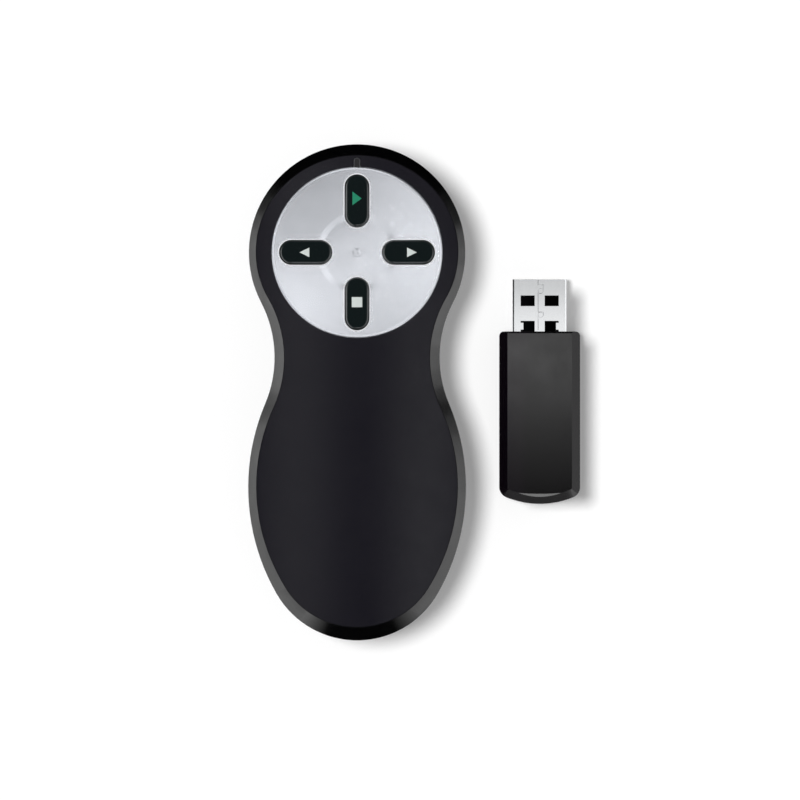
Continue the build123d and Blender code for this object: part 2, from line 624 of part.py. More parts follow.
def key_switch(turn):
    half = SWITCH_SIDE / 2
    body = block((-half, half), (-half, half), (BOARD_TOP_Z, SWITCH_TOP_Z))
    body = chamfer(body.edges().filter_by(Axis.Z), SWITCH_SIDE / 12)
    body -= rod(0, 0, SWITCH_TOP_Z - SWITCH_BORE_DEPTH, FAR, PLUNGER_RADIUS + PLUNGER_FIT)
    return button_place(turn) * body


def plunger(turn):
    peg = rod(0, 0, SWITCH_TOP_Z - PLUNGER_DEPTH, PLUNGER_TOP_Z, PLUNGER_RADIUS)
    return button_place(turn) * peg


def radio_chip():
    half = CHIP_SIDE / 2
    z_range = (BOARD_UNDER_Z - CHIP_HEIGHT, BOARD_UNDER_Z)
    return block((-half, half), (CHIP_Y - half, CHIP_Y + half), z_range)


def crystal():
    low_x = CHIP_SIDE / 2 + CRYSTAL_GAP
    half = CRYSTAL_WIDTH / 2
    y_range = (CHIP_Y - half, CHIP_Y + half)
    return block((low_x, low_x + CRYSTAL_LENGTH), y_range, (BOARD_UNDER_Z - CRYSTAL_HEIGHT, BOARD_UNDER_Z))


def board_passives():
    """A row of small capacitors and resistors beside the chip."""
    high_x = -CHIP_SIDE / 2 - CRYSTAL_GAP
    z_range = (BOARD_UNDER_Z - PASSIVE_HEIGHT, BOARD_UNDER_Z)
    row = []
    for index in range(PASSIVE_COUNT):
        y = CHIP_Y + (index - (PASSIVE_COUNT - 1) / 2) * PASSIVE_PITCH
        y_range = (y - PASSIVE_WIDTH / 2, y + PASSIVE_WIDTH / 2)
        row.append(block((high_x - PASSIVE_LENGTH, high_x), y_range, z_range))
    return Compound(row)


def status_led():
    half = LED_LENGTH / 2
    y = BOARD_RADIUS - LED_WIDTH
    y_range = (y - LED_WIDTH / 2, y + LED_WIDTH / 2)
    return block((-half, half), y_range, (BOARD_TOP_Z, BOARD_TOP_Z + LED_HEIGHT))


# ---- screws ----


def screw(x, y, seat_z, length, radius, head_radius, head):
    """A screw put in from below: its head hangs under the seat, its shank points up."""
    body = rod(x, y, seat_z - head, seat_z, head_radius)
    body += rod(x, y, seat_z, seat_z + length, radius)
    slot_z = (seat_z - head - PAST, seat_z - head + RECESS_DEPTH)
    half = RECESS_WIDTH / 2
    arm = head_radius * 0.6
    body -= block((x - arm, x + arm), (y - half, y + half), slot_z)
    return body - block((x - half, x + half), (y - arm, y + arm), slot_z)


def board_screws():
    return Compound(
        [
            screw(
                x,
                y,
                BOARD_UNDER_Z,
                BOARD_SCREW_LENGTH,
                BOARD_SCREW_RADIUS,
                BOARD_SCREW_HEAD_RADIUS,
                BOARD_SCREW_HEAD,
            )
            for x, y in board_screw_places()
        ]
    )


def case_screws():
    return Compound(
        [
            screw(
                x,
                y,
                CASE_SCREW_SEAT_Z,
                CASE_SCREW_LENGTH,
                CASE_SCREW_RADIUS,
                CASE_SCREW_HEAD_RADIUS,
                CASE_SCREW_HEAD,
            )
            for x, y in case_screw_places()
        ]
    )


# ---- batteries, contacts and door ----


def cell(side):
    """One AAA cell. The left one's tip points to the head, the right one's to the tail."""
    front = COMPARTMENT_FRONT - CONTACT_THICKNESS - TOUCH
    if side > 0:
        front -= SPRING_LENGTH
    back = front - CELL_LENGTH
    can = (back, front - CELL_TIP_LENGTH) if side < 0 else (back + CELL_TIP_LENGTH, front)
    body = rod_along_y(side * CELL_X, CELL_Z, can, CELL_DIAMETER / 2)
    return body + rod_along_y(side * CELL_X, CELL_Z, (back, front), CELL_TIP_RADIUS)


def front_contact(side):
    """Spring or tip plate against the front wall, with a tab up to the board."""
    x = side * CELL_X
    y_range = (COMPARTMENT_FRONT - CONTACT_THICKNESS, COMPARTMENT_FRONT)
    half = CONTACT_HALF_WIDTH
    plate = block((x - half, x + half), y_range, (CONTACT_FOOT_Z, CONTACT_TOP_Z))
    tab = CONTACT_TAB_HALF_WIDTH
    return plate + block((x - tab, x + tab), y_range, (CONTACT_TOP_Z, BOARD_UNDER_Z))


def bridge_contact():
    """One plate across the tail wall that joins the two cells."""
    half = CELL_X + CONTACT_HALF_WIDTH
    y_range = (COMPARTMENT_BACK, COMPARTMENT_BACK + CONTACT_THICKNESS)
    return block((-half, half), y_range, (CONTACT_FOOT_Z, CONTACT_TOP_Z))


def contact_spring(side):
    """A conical coil between a plate and the flat end of a cell."""
    height = SPRING_LENGTH - 2 * SPRING_WIRE
    flare = degrees(atan2(SPRING_TIP_RADIUS - SPRING_BASE_RADIUS, height))
    coil = Helix(height / SPRING_TURNS, height, SPRING_BASE_RADIUS, cone_angle=flare)
    start = Plane(coil @ 0, z_dir=coil % 0)
    wire = sweep(start * RegularPolygon(SPRING_WIRE, SPRING_WIRE_SIDES), coil, is_frenet=True)
    wire = Pos(0, 0, SPRING_WIRE) * wire
    if side > 0:
        return Pos(CELL_X, COMPARTMENT_FRONT - CONTACT_THICKNESS, CELL_Z) * Rot(90, 0, 0) * wire
    return Pos(-CELL_X, COMPARTMENT_BACK + CONTACT_THICKNESS, CELL_Z) * Rot(-90, 0, 0) * wire


def battery_door():
    skin = hull(0) - hull(WALL)
    door = skin & block((-DOOR_HALF, DOOR_HALF), (-FAR, DOOR_FRONT), (-PAST, DOOR_LIP_Z))
    rail_z = (WALL - RAIL_THICKNESS, WALL)
    door += block((-RAIL_HALF, RAIL_HALF), (RAIL_BACK, RAIL_FRONT), rail_z)
    tongue = TONGUE_HALF_WIDTH
    tongue_z = (WALL + DOOR_GAP, WALL + DOOR_GAP + TONGUE_THICKNESS)
    door += block((-tongue, tongue), (DOOR_FRONT - TONGUE_ROOT, DOOR_FRONT + TONGUE_REACH), tongue_z)
    root = (DOOR_FRONT - TONGUE_ROOT, DOOR_FRONT)
    door += block((-tongue, tongue), root, (WALL / 2, WALL + DOOR_GAP))
    for index in range(GRIP_COUNT):
        y = GRIP_CENTRE + (index - (GRIP_COUNT - 1) / 2) * GRIP_PITCH
        groove = Rot(0, 90, 0) * Cylinder(GRIP_RADIUS, 2 * GRIP_HALF_LENGTH)
        door -= Pos(0, y, GRIP_DEPTH - GRIP_RADIUS) * groove
    return door


# ---- receiver ----


def receiver_outline(front):
    """The housing from above: straight sides, curved back end, straight front edge at a given place."""
    half = RECEIVER_WIDTH / 2
    shoulder = HOUSING_BACK_Y + RECEIVER_END_RADIUS - sqrt(RECEIVER_END_RADIUS**2 - half**2)
    edges = [
        Line((-half, front), (-half, shoulder)),
        ThreePointArc((-half, shoulder), (0, HOUSING_BACK_Y), (half, shoulder)),
        Line((half, shoulder), (half, front)),
        Line((half, front), (-half, front)),
    ]
    face = make_face(edges)
    return fillet(face.vertices().sort_by(Axis.Y)[:2], RECEIVER_SHOULDER)


def facet_cutter():
    """Cuts the crescent facet where the flat top meets the bevel round the end."""
    centre_y = HOUSING_BACK_Y + RECEIVER_BEVEL + FACET_REACH + FACET_RADIUS
    low_z = RECEIVER_THICKNESS - FACET_REACH
    slope = Cone(FACET_RADIUS + FACET_RUN * FACET_REACH, FACET_RADIUS, FACET_REACH)
    keep = Pos(0, centre_y, low_z + FACET_REACH / 2) * slope
    half = RECEIVER_WIDTH / 2
    y_range = (HOUSING_BACK_Y - PAST, centre_y)
    return block((-half, half), y_range, (low_z, RECEIVER_THICKNESS)) - keep


def receiver_form():
    """The whole housing as a solid: bevelled along the sides and round the end, top and bottom."""
    bar = extrude(receiver_outline(HOUSING_FRONT_Y + RECEIVER_WIDTH), RECEIVER_THICKNESS)
    top = bar.faces().sort_by(Axis.Z)[-1]
    bar = chamfer(top.edges().sort_by(Axis.Y)[:-1], RECEIVER_BEVEL)
    under = bar.faces().sort_by(Axis.Z)[0]
    bar = chamfer(under.edges().sort_by(Axis.Y)[:-1], RECEIVER_BELLY)
    trim = extrude(receiver_outline(HOUSING_FRONT_Y), RECEIVER_THICKNESS)
    trim = fillet(trim.edges().filter_by(Axis.Z).group_by(Axis.Y)[-1], RECEIVER_CORNER)
    brow = trim.faces().sort_by(Axis.Z)[-1].edges().sort_by(Axis.Y)[-1]
    return (bar & chamfer(brow, RECEIVER_BROW)) - facet_cutter()


def receiver_groove():
    """What the shadow line takes away, half of it from each shell."""
    outline_face = receiver_outline(HOUSING_FRONT_Y)
    low_z = PLUG_MIDDLE_Z - RECEIVER_GROOVE / 2
    core = Pos(0, 0, low_z) * extrude(offset(outline_face, -RECEIVER_GROOVE_DEPTH), RECEIVER_GROOVE)
    return block((-FAR, FAR), (-FAR, FAR), (low_z, low_z + RECEIVER_GROOVE)) - core


def receiver_cavity():
    half = RECEIVER_WIDTH / 2 - RECEIVER_CAVITY_SIDE
    y_low = HOUSING_BACK_Y + RECEIVER_WALL + RECEIVER_BEVEL + RECEIVER_WALL
    y_range = (y_low, HOUSING_FRONT_Y - RECEIVER_WALL)
    return block((-half, half), y_range, (RECEIVER_WALL, RECEIVER_THICKNESS - RECEIVER_WALL))


def plug_bar(grow, low_y, high_y):
    """The plug's cross-section as a bar along Y."""
    section = RectangleRounded(PLUG_WIDTH + 2 * grow, PLUG_THICKNESS + 2 * grow, PLUG_CORNER + grow)
    bar = extrude(Plane.XZ * section, high_y - low_y)
    return Pos(0, high_y, PLUG_MIDDLE_Z) * bar


def receiver_ribs(low_z, high_z):
    """Two rails along the housing that hold the board."""
    y_range = (RECEIVER_BOARD_FRONT_Y - RECEIVER_BOARD_LENGTH, INSULATOR_BACK_Y - RECEIVER_RIB / 2)
    half = RECEIVER_RIB / 2
    return both_sides(RECEIVER_RIB_X - half, RECEIVER_RIB_X + half, y_range, (low_z, high_z))


def receiver_shell(low_z, high_z):
    shell = receiver_form() - receiver_cavity()
    shell -= plug_bar(PLUG_FIT, HOUSING_FRONT_Y - PLUG_ROOT, HOUSING_FRONT_Y + PAST)
    shell -= receiver_groove()
    return shell & block((-FAR, FAR), (-FAR, FAR), (low_z, high_z))


def receiver_upper_shell():
    shell = receiver_shell(PLUG_MIDDLE_Z, FAR)
    ceiling = RECEIVER_THICKNESS - RECEIVER_WALL
    shell += receiver_ribs(RECEIVER_BOARD_TOP_Z, ceiling)
    return Pos(RECEIVER_X, 0, 0) * shell


def receiver_lower_shell():
    shell = receiver_shell(-PAST, PLUG_MIDDLE_Z)
    shell += receiver_ribs(RECEIVER_WALL, RECEIVER_BOARD_UNDER_Z)
    return Pos(RECEIVER_X, 0, 0) * shell


def receiver_board():
    half = RECEIVER_WIDTH / 2 - RECEIVER_CAVITY_SIDE - RECEIVER_BOARD_GAP
    y_range = (RECEIVER_BOARD_FRONT_Y - RECEIVER_BOARD_LENGTH, RECEIVER_BOARD_FRONT_Y)
    board = block((-half, half), y_range, (RECEIVER_BOARD_UNDER_Z, RECEIVER_BOARD_TOP_Z))
    return Pos(RECEIVER_X, 0, 0) * board


def plug_window(low, length):
    """One pair of windows through the plug's top and bottom sheets."""
    y = RECEIVER_TIP_Y - low
    pair = both_sides(WINDOW_INNER, WINDOW_INNER + WINDOW_WIDTH, (y - length, y), (-PAST, FAR))
    return pair


def plug_seam():
    """The joint line along the top of the plug, with its two interlocking tabs."""
    y_at = lambda distance: RECEIVER_TIP_Y - distance
    line = [(SEAM_X, y_at(-PAST))]
    for start in (LOCK_1, LOCK_2):
        line += [
            (SEAM_X, y_at(start)),
            (SEAM_X + LOCK_REACH * 0.5, y_at(start)),
            (SEAM_X + LOCK_REACH, y_at(start - LOCK_LENGTH * 0.15)),
            (SEAM_X + LOCK_REACH, y_at(start + LOCK_LENGTH * 1.15)),
            (SEAM_X + LOCK_REACH * 0.5, y_at(start + LOCK_LENGTH)),
            (SEAM_X, y_at(start + LOCK_LENGTH)),
        ]
    line.append((SEAM_X, y_at(PLUG_REACH + PLUG_ROOT / 2)))
    groove = trace(Polyline(*line), SEAM_WIDTH)
    return Pos(0, 0, PLUG_TOP_Z - SEAM_DEPTH) * extrude(groove, PAST)


def plug_shell():
    low_y = HOUSING_FRONT_Y - PLUG_ROOT
    shell = plug_bar(0, low_y, RECEIVER_TIP_Y)
    shell -= plug_bar(-PLUG_SHEET, low_y - PAST, RECEIVER_TIP_Y + PAST)
    shell -= plug_window(WINDOW_ROW_1, WINDOW_LENGTH)
    second = plug_window(WINDOW_ROW_2, WINDOW_2_LENGTH)
    tab_x = WINDOW_INNER + WINDOW_WIDTH
    tab_y = RECEIVER_TIP_Y - WINDOW_ROW_2 - WINDOW_TAB_MARGIN
    tab_low = tab_y - (PLUG_REACH - WINDOW_ROW_2 - 2 * WINDOW_TAB_MARGIN)
    second -= both_sides(tab_x - WINDOW_TAB, tab_x + PAST, (tab_low, tab_y), (-PAST, FAR))
    shell -= second
    shell -= plug_seam()
    return Pos(RECEIVER_X, 0, 0) * shell


def plug_insulator():
    half = PLUG_WIDTH / 2 - PLUG_SHEET - INSULATOR_GAP
    y_range = (INSULATOR_BACK_Y, RECEIVER_TIP_Y - INSULATOR_SETBACK)
    tongue = block((-half, half), y_range, (INSULATOR_UNDER_Z, INSULATOR_TOP_Z))
    upper_edges = tongue.edges().filter_by(Axis.Y).group_by(Axis.Z)[-1]
    return Pos(RECEIVER_X, 0, 0) * chamfer(upper_edges, PLUG_CORNER - PLUG_SHEET)


def plug_contacts():
    z_range = (INSULATOR_UNDER_Z - PIN_THICKNESS, INSULATOR_UNDER_Z)
    pins = []
    for at, short in ((PIN_OUTER_AT, 0), (PIN_INNER_AT, PIN_SHORT)):
        for x in (-at, at):
            high = RECEIVER_TIP_Y - PIN_SETBACK - short
            low = RECEIVER_TIP_Y - PIN_SETBACK - PIN_LENGTH
            pins.append(block((x - PIN_WIDTH / 2, x + PIN_WIDTH / 2), (low, high), z_range))
    return Pos(RECEIVER_X, 0, 0) * Compound(pins)


def receiver_chip():
    half = CHIP_SIDE / 2
    y = RECEIVER_BOARD_FRONT_Y - RECEIVER_BOARD_LENGTH / 2
    z_range = (RECEIVER_BOARD_TOP_Z, RECEIVER_BOARD_TOP_Z + CHIP_HEIGHT)
    return Pos(RECEIVER_X, 0, 0) * block((-half, half), (y - half, y + half), z_range)


def main():
    turns = {"next": 0, "play": 90, "back": 180, "stop": 270}
    pieces = {
        "bottom_case": bottom_case(),
        "upper_case": upper_case(),
        "top_panel": top_panel(),
        "thumb_disc": thumb_disc(),
        "light_guide": light_guide(),
        "circuit_board": circuit_board(),
        "radio_chip": radio_chip(),
        "crystal": crystal(),
        "board_passives": board_passives(),
        "status_led": status_led(),
        "board_screws": board_screws(),
        "case_screws": case_screws(),
        "cell_left": cell(-1),
        "cell_right": cell(1),
        "contact_left": front_contact(-1),
        "contact_right": front_contact(1),
        "contact_bridge": bridge_contact(),
        "spring_left": contact_spring(-1),
        "spring_right": contact_spring(1),
        "battery_door": battery_door(),
        "receiver_upper_shell": receiver_upper_shell(),
        "receiver_lower_shell": receiver_lower_shell(),
        "receiver_board": receiver_board(),
        "receiver_chip": receiver_chip(),
        "plug_shell": plug_shell(),
        "plug_insulator": plug_insulator(),
        "plug_contacts": plug_contacts(),
    }
    for name, turn in turns.items():
        pieces[f"{name}_button"] = button(turn)
        pieces[f"{name}_plunger"] = plunger(turn)
        pieces[f"{name}_switch"] = key_switch(turn)
    os.makedirs("parts", exist_ok=True)
    for name, shape in pieces.items():
        export_step(shape, f"parts/{name}.step")


main()
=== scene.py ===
from math import cos, pi, radians, sin, sqrt

import bpy
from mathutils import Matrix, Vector


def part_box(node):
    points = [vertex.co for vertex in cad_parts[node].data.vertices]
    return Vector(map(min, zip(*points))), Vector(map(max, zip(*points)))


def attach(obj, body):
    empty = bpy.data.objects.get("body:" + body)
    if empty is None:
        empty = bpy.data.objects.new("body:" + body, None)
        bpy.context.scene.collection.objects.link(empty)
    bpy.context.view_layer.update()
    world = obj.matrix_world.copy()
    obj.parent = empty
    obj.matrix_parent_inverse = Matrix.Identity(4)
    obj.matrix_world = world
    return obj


# The finish of a presentation clicker and its USB receiver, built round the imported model, in metres.
# The order is: the model, sizes of the added pieces, studio values, shader helpers, finishes,
# modelling helpers, added pieces, studio.

# ---- the model ----
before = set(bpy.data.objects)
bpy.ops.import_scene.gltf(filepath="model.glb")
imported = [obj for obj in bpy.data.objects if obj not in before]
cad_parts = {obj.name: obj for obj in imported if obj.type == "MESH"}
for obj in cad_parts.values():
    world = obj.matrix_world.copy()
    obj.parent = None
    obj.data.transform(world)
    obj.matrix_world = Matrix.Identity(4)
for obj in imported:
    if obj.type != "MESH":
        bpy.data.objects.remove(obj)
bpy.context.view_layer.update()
MM = 0.001


def middle_of(node):
    """The middle of a node's box."""
    low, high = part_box(node)
    return (low + high) / 2


def top_of(node):
    """The highest level of a node."""
    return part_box(node)[1].z


# ---- sizes of the added pieces ----
# which way each button lies from the middle of the disc
KEYS = {"play": (0, 1), "next": (1, 0), "back": (-1, 0), "stop": (0, -1)}
NEAR = 0.01 * MM  # points this close to a place count as lying there
SOFT_EDGES = 60  # degrees: edges that turn less than this are shaded smooth
CRISP_EDGES = 30
SLOT_HALF_STRAIGHT = 3.1 * MM  # half the straight run of a button slot
SLOT_HALF_WIDTH = 2.75 * MM
BEAD_RADIUS = 0.13 * MM  # rolled bead round each slot
BEAD_SEAT = 0.6 * BEAD_RADIUS  # how far outside the slot the bead's middle runs
BEAD_STEPS = 64
MARK_HEIGHT = 0.05 * MM  # printed mark, half of it sunk into the cap
MARK_CORNER = 0.12 * MM
PLAY_MARK = (2.0 * MM, 3.0 * MM, 0.55 * MM)  # length, width, outwards from the button's middle
NEXT_MARK = (2.15 * MM, 2.1 * MM, 0.77 * MM)
BACK_MARK = (2.15 * MM, 2.1 * MM, 0.26 * MM)
STOP_MARK = (2.3 * MM, 2.22 * MM, -0.36 * MM)
ARCH_BEAD = 0.09 * MM
ARCH_STEPS = 32
SIGN_SIZE = 3.0 * MM  # plus and minus signs on the cells
SIGN_HALF_STROKE = SIGN_SIZE / 10
SIGN_STEPS = 20
SIGN_HEIGHT = 0.04 * MM
SIGN_AT = 6.0 * MM  # from the nearer end of the cell
JOINT_LINE = 0.06 * MM  # radius of the dark line in the joint of the plug's sheet
JOINT_X = -0.35 * MM  # from the middle of the plug
JOINT_SINK = 0.05 * MM
JOINT_START = 0.1 * MM  # from the tip of the plug
JOINT_END = 11.2 * MM
LOCKS = ((1.2 * MM, 1.35 * MM), (7.2 * MM, 0.6 * MM))  # from the tip to each lock, length of its neck
LOCK_RADIUS = 0.57 * MM
LOCK_STEPS = 16

# ---- studio values ----
PICTURE_WIDTH = 175.2 * MM  # what the camera takes in, at the rim of the handle
PICTURE_MIDDLE = (9.4 * MM, -32.3 * MM)
RIM_LEVEL = 22.5 * MM
LENS = 500.0
FLOOR_SIZE = 12.0
FLOOR_LEVEL = -0.05 * MM  # a hair under the object, whose flat undersides lie at 0
FLOOR_WHITE = (0.98, 0.98, 0.98, 1)
FLOOR_GLOW = 0.2  # share of the floor's white that a shadow leaves
WORLD_LIGHT = 0.25
KEY_LIGHT = 0.85
KEY_SOFTNESS = 13  # degrees across
KEY_LEAN = 11  # degrees from straight above
KEY_FROM = 168  # degrees: the side it comes from, seen from above

# how a card is turned, in degrees, and the glow at its left and its right edge
FLAT = (0, 0, 0)
UPRIGHT = (90, 0, 0)
SIDEWAYS = (0, 90, 0)
BLACK = (0.0, 0.0)
# cards over the receiver that widen its soft shadow: middle, size
SHADOW_CARDS = {
    "receiver_gobo": ((0.0416, -0.0365, 0.018), (0.014, 0.036)),
    "plug_gobo": ((0.0411, -0.0135, 0.018), (0.0105, 0.012)),
}
HEAD_FLAG = ((0.55, 0.6, 0.3), (4.1, 0.7), UPRIGHT)  # middle, size, turn
HEAD_FLOOR_FLAG = ((0.05, 0.34, 0.001), (1.3, 0.54), FLAT)
CEILING_FLAG = ((0, 0, 0.62), (1.3, 1.3), FLAT)

# the two sides at the horizon, which the bevels see and the dish doesn't
LEFT_X = -0.55
LEFT_GLOW = 2.3
RIGHT_X = 0.6
RIGHT_GLOW = 1.5
HORIZON_HEIGHT = 0.44
HORIZON_AIM = 0.02  # the level that the boxes face
HORIZON_BOXES = {  # x, y, length, glow
    "left_box": (LEFT_X, -0.82, 1.94, LEFT_GLOW),
    "left_fade_near": (LEFT_X, 0.21, 0.12, 1.0),
    "left_fade_far": (LEFT_X, 0.345, 0.15, 0.3),
    "right_box": (RIGHT_X, -0.92, 1.68, RIGHT_GLOW),
    "right_fade_near": (RIGHT_X, -0.02, 0.12, 1.0),
    "right_fade_far": (RIGHT_X, 0.12, 0.16, 0.5),
}
# cards behind the tail, side by side: black in the middle, with a fade to each side
TAIL_CARD_Y = -0.2
TAIL_CARD_HEIGHT = 0.12
TAIL_CARDS = {  # left edge, right edge, glow
    "tail_flag": (-0.05, 0.063, BLACK),
    "tail_fade_left": (-0.105, -0.05, (LEFT_GLOW, 0.0)),
    "tail_fade_right": (0.063, 0.12, (0.0, RIGHT_GLOW)),
}

# boxes overhead; place: size, glow
BOX_LEVEL = 0.6
CROWN_BOXES = {
    (-0.08, -0.02): ((0.08, 0.24), 0.7),
    (0.09, -0.06): ((0.08, 0.16), 0.95),
    (0.0, 0.05): ((0.08, 0.07), 0.4),
}
DISH_BOXES = {
    (0.0, 0.0): ((0.1, 0.1), 0.8),
    (0.08, 0.08): ((0.1, 0.1), 1.7),
    (-0.08, 0.08): ((0.1, 0.1), 0.8),
    (-0.11, 0.0): ((0.1, 0.1), 1.0),
    (0.18, 0.18): ((0.15, 0.15), 1.4),
    (-0.18, 0.18): ((0.15, 0.15), 1.3),
    (0.25, 0.0): ((0.15, 0.15), 1.8),
    (0.0, -0.24): ((0.2, 0.15), 1.2),
    (-0.08, -0.08): ((0.1, 0.1), 0.6),
    (-0.2, -0.16): ((0.16, 0.16), 0.9),
    (0.2, -0.16): ((0.16, 0.16), 0.9),
    (-0.1, 0.42): ((0.7, 0.15), 1.0),
    (-0.42, 0.05): ((0.15, 0.55), 1.0),
}
DISH_RIM_BOX = ((0, 0.52, 0.4), (0, 0, 0), (1.5, 0.35), 0.9)  # middle, aim, size, glow

# strips over the receiver, wide boxes for its plug and cards beside and behind it
RECEIVER_BOX_LEVEL = 0.15
RECEIVER_GLOWS = (1.0, 1.35, 2.3, 1.45, 0.65, 0.35)
RECEIVER_STRIP = (0.036, 0.01)
RECEIVER_STRIP_FROM = 0.005  # y of the first strip's far edge
RECEIVER_STRIP_SHIFT = 0.0015  # to the right of the receiver's middle
PLUG_BOX_SIZE = (0.3, 0.06)
PLUG_BOXES = {0.02: 0.8, -0.04: 1.4}  # y: glow
SIDE_CARD_AWAY = 0.045  # from the receiver's middle
SIDE_CARD_SIZE = (0.034, 0.09)
SIDE_CARD_GLOW = (0.8, 0.8)
END_CARD_Y = -0.08
END_CARD_SIZE = (0.034, 0.012)
END_CARD_GLOW = (0.4, 0.4)
# a bright box for the step before the receiver's tail: middle, aim, size, glow
CRESCENT_BOX = ((0.042, -0.375, 0.38), (0.042, -0.055, 0.0), (0.16, 0.1), 5.0)


# ---- shader helpers ----

NOISE_LOW = 0.3  # nearly all of a noise lies between these two
NOISE_HIGH = 0.7
FIRST_COLOUR = 6  # the colour sockets of a Mix node
SECOND_COLOUR = 7
MIXED_COLOUR = 2


class Finish:
    """A material being made: its nodes, its shader and the coordinates that its patterns follow."""

    def __init__(self, name):
        self.material = bpy.data.materials.new(name)
        self.material.use_nodes = True
        self.nodes = self.material.node_tree.nodes
        self.shader = self.nodes["Principled BSDF"]
        self.place = self.nodes.new("ShaderNodeTexCoord").outputs["Object"]

    def link(self, source, target):
        self.material.node_tree.links.new(source, target)

    def set(self, **values):
        """Sets the shader's own sockets; spaces in their names are written as underscores."""
        for name, value in values.items():
            self.shader.inputs[name.replace("_", " ")].default_value = value

    def stretched(self, scale):
        """The coordinates scaled along each axis."""
        mapping = self.nodes.new("ShaderNodeMapping")
        mapping.inputs["Scale"].default_value = scale
        self.link(self.place, mapping.inputs["Vector"])
        return mapping.outputs["Vector"]

    def noise(self, size, detail=2.0, place=None):
        """Soft random variation from 0 to 1, with patches about size metres across."""
        noise = self.nodes.new("ShaderNodeTexNoise")
        noise.inputs["Scale"].default_value = 1 / size
        noise.inputs["Detail"].default_value = detail
        self.link(place or self.place, noise.inputs["Vector"])
        return noise.outputs["Fac"]

    def cells(self, size):
        """Random grey cells about size metres across, as in metal flake."""
        cells = self.nodes.new("ShaderNodeTexVoronoi")
        cells.inputs["Scale"].default_value = 1 / size
        self.link(self.place, cells.inputs["Vector"])
        grey = self.nodes.new("ShaderNodeSeparateColor")
        self.link(cells.outputs["Color"], grey.inputs["Color"])
        return grey.outputs["Red"]

    def fit(self, value, low, high, new_low, new_high):
        """Turns the range low..high of a value into new_low..new_high."""
        fit = self.nodes.new("ShaderNodeMapRange")
        self.link(value, fit.inputs["Value"])
        for name, number in zip(("From Min", "From Max", "To Min", "To Max"),
                                (low, high, new_low, new_high)):
            fit.inputs[name].default_value = number
        return fit.outputs["Result"]

    def product(self, first, second):
        """One value times another."""
        times = self.nodes.new("ShaderNodeMath")
        times.operation = "MULTIPLY"
        self.link(first, times.inputs[0])
        self.link(second, times.inputs[1])
        return times.outputs[0]

    def blend(self, share, first, second):
        """From the first colour to the second; each is a colour or the output of a node."""
        mix = self.nodes.new("ShaderNodeMix")
        mix.data_type = "RGBA"
        self.link(share, mix.inputs["Factor"])
        for index, colour in ((FIRST_COLOUR, first), (SECOND_COLOUR, second)):
            if isinstance(colour, tuple):
                mix.inputs[index].default_value = (*colour, 1)
            else:
                self.link(colour, mix.inputs[index])
        return mix.outputs[MIXED_COLOUR]

    def edges(self, radius, gain):
        """1 along sharp edges, 0 away from them."""
        rounded = self.nodes.new("ShaderNodeBevel")
        rounded.samples = 4
        rounded.inputs["Radius"].default_value = radius
        plain = self.nodes.new("ShaderNodeNewGeometry")
        dot = self.nodes.new("ShaderNodeVectorMath")
        dot.operation = "DOT_PRODUCT"
        self.link(rounded.outputs["Normal"], dot.inputs[0])
        self.link(plain.outputs["Normal"], dot.inputs[1])
        return self.fit(dot.outputs["Value"], 1.0 - gain, 1.0, 1.0, 0.0)

    def worn(self, radius, gain, patch):
        """1 on the worn stretches of sharp edges, each about patch metres long."""
        return self.product(self.edges(radius, gain), self.noise(patch))

    def relief(self, height, depth, strength=1.0):
        """Raises and sinks the surface by a height pattern."""
        bump = self.nodes.new("ShaderNodeBump")
        bump.inputs["Strength"].default_value = strength
        bump.inputs["Distance"].default_value = depth
        self.link(height, bump.inputs["Height"])
        self.link(bump.outputs["Normal"], self.shader.inputs["Normal"])

    def colour(self, source):
        self.link(source, self.shader.inputs["Base Color"])

    def roughness(self, pattern, low, high):
        """Lets the roughness follow a noise, from low to high."""
        rough = self.fit(pattern, NOISE_LOW, NOISE_HIGH, low, high)
        self.link(rough, self.shader.inputs["Roughness"])


# ---- finishes ----


def satin_case():
    """Moulded black with the fine grain of a spark-eroded tool."""
    finish = Finish("satin_case")
    worn = finish.worn(0.25 * MM, 0.05, 1.5 * MM)
    finish.colour(finish.blend(worn, (0.008, 0.008, 0.0095), (0.045, 0.045, 0.048)))
    finish.roughness(finish.noise(6 * MM), 0.40, 0.50)
    finish.relief(finish.noise(0.18 * MM, 3.0), 0.02 * MM, 0.5)
    return finish.material


def polished_case():
    """High-gloss black of the rim and the upper side walls."""
    finish = Finish("polished_case")
    worn = finish.worn(0.12 * MM, 0.06, 1.2 * MM)
    finish.colour(finish.blend(worn, (0.0008, 0.0008, 0.0010), (0.02, 0.02, 0.022)))
    finish.roughness(finish.noise(4 * MM, 3.0), 0.11, 0.16)
    finish.relief(finish.noise(2.6 * MM), 0.008 * MM, 0.4)
    return finish.material


def soft_touch():
    """Silky soft-touch paint of the top panel."""
    finish = Finish("soft_touch")
    mottle = finish.noise(9 * MM, 3.0)
    finish.colour(finish.blend(mottle, (0.0036, 0.0031, 0.0066), (0.0048, 0.0042, 0.0082)))
    finish.roughness(finish.noise(5 * MM, 4.0), 0.19, 0.22)
    finish.relief(finish.noise(0.12 * MM, 3.0), 0.008 * MM, 0.35)
    finish.set(Specular_IOR_Level=0.45)
    return finish.material


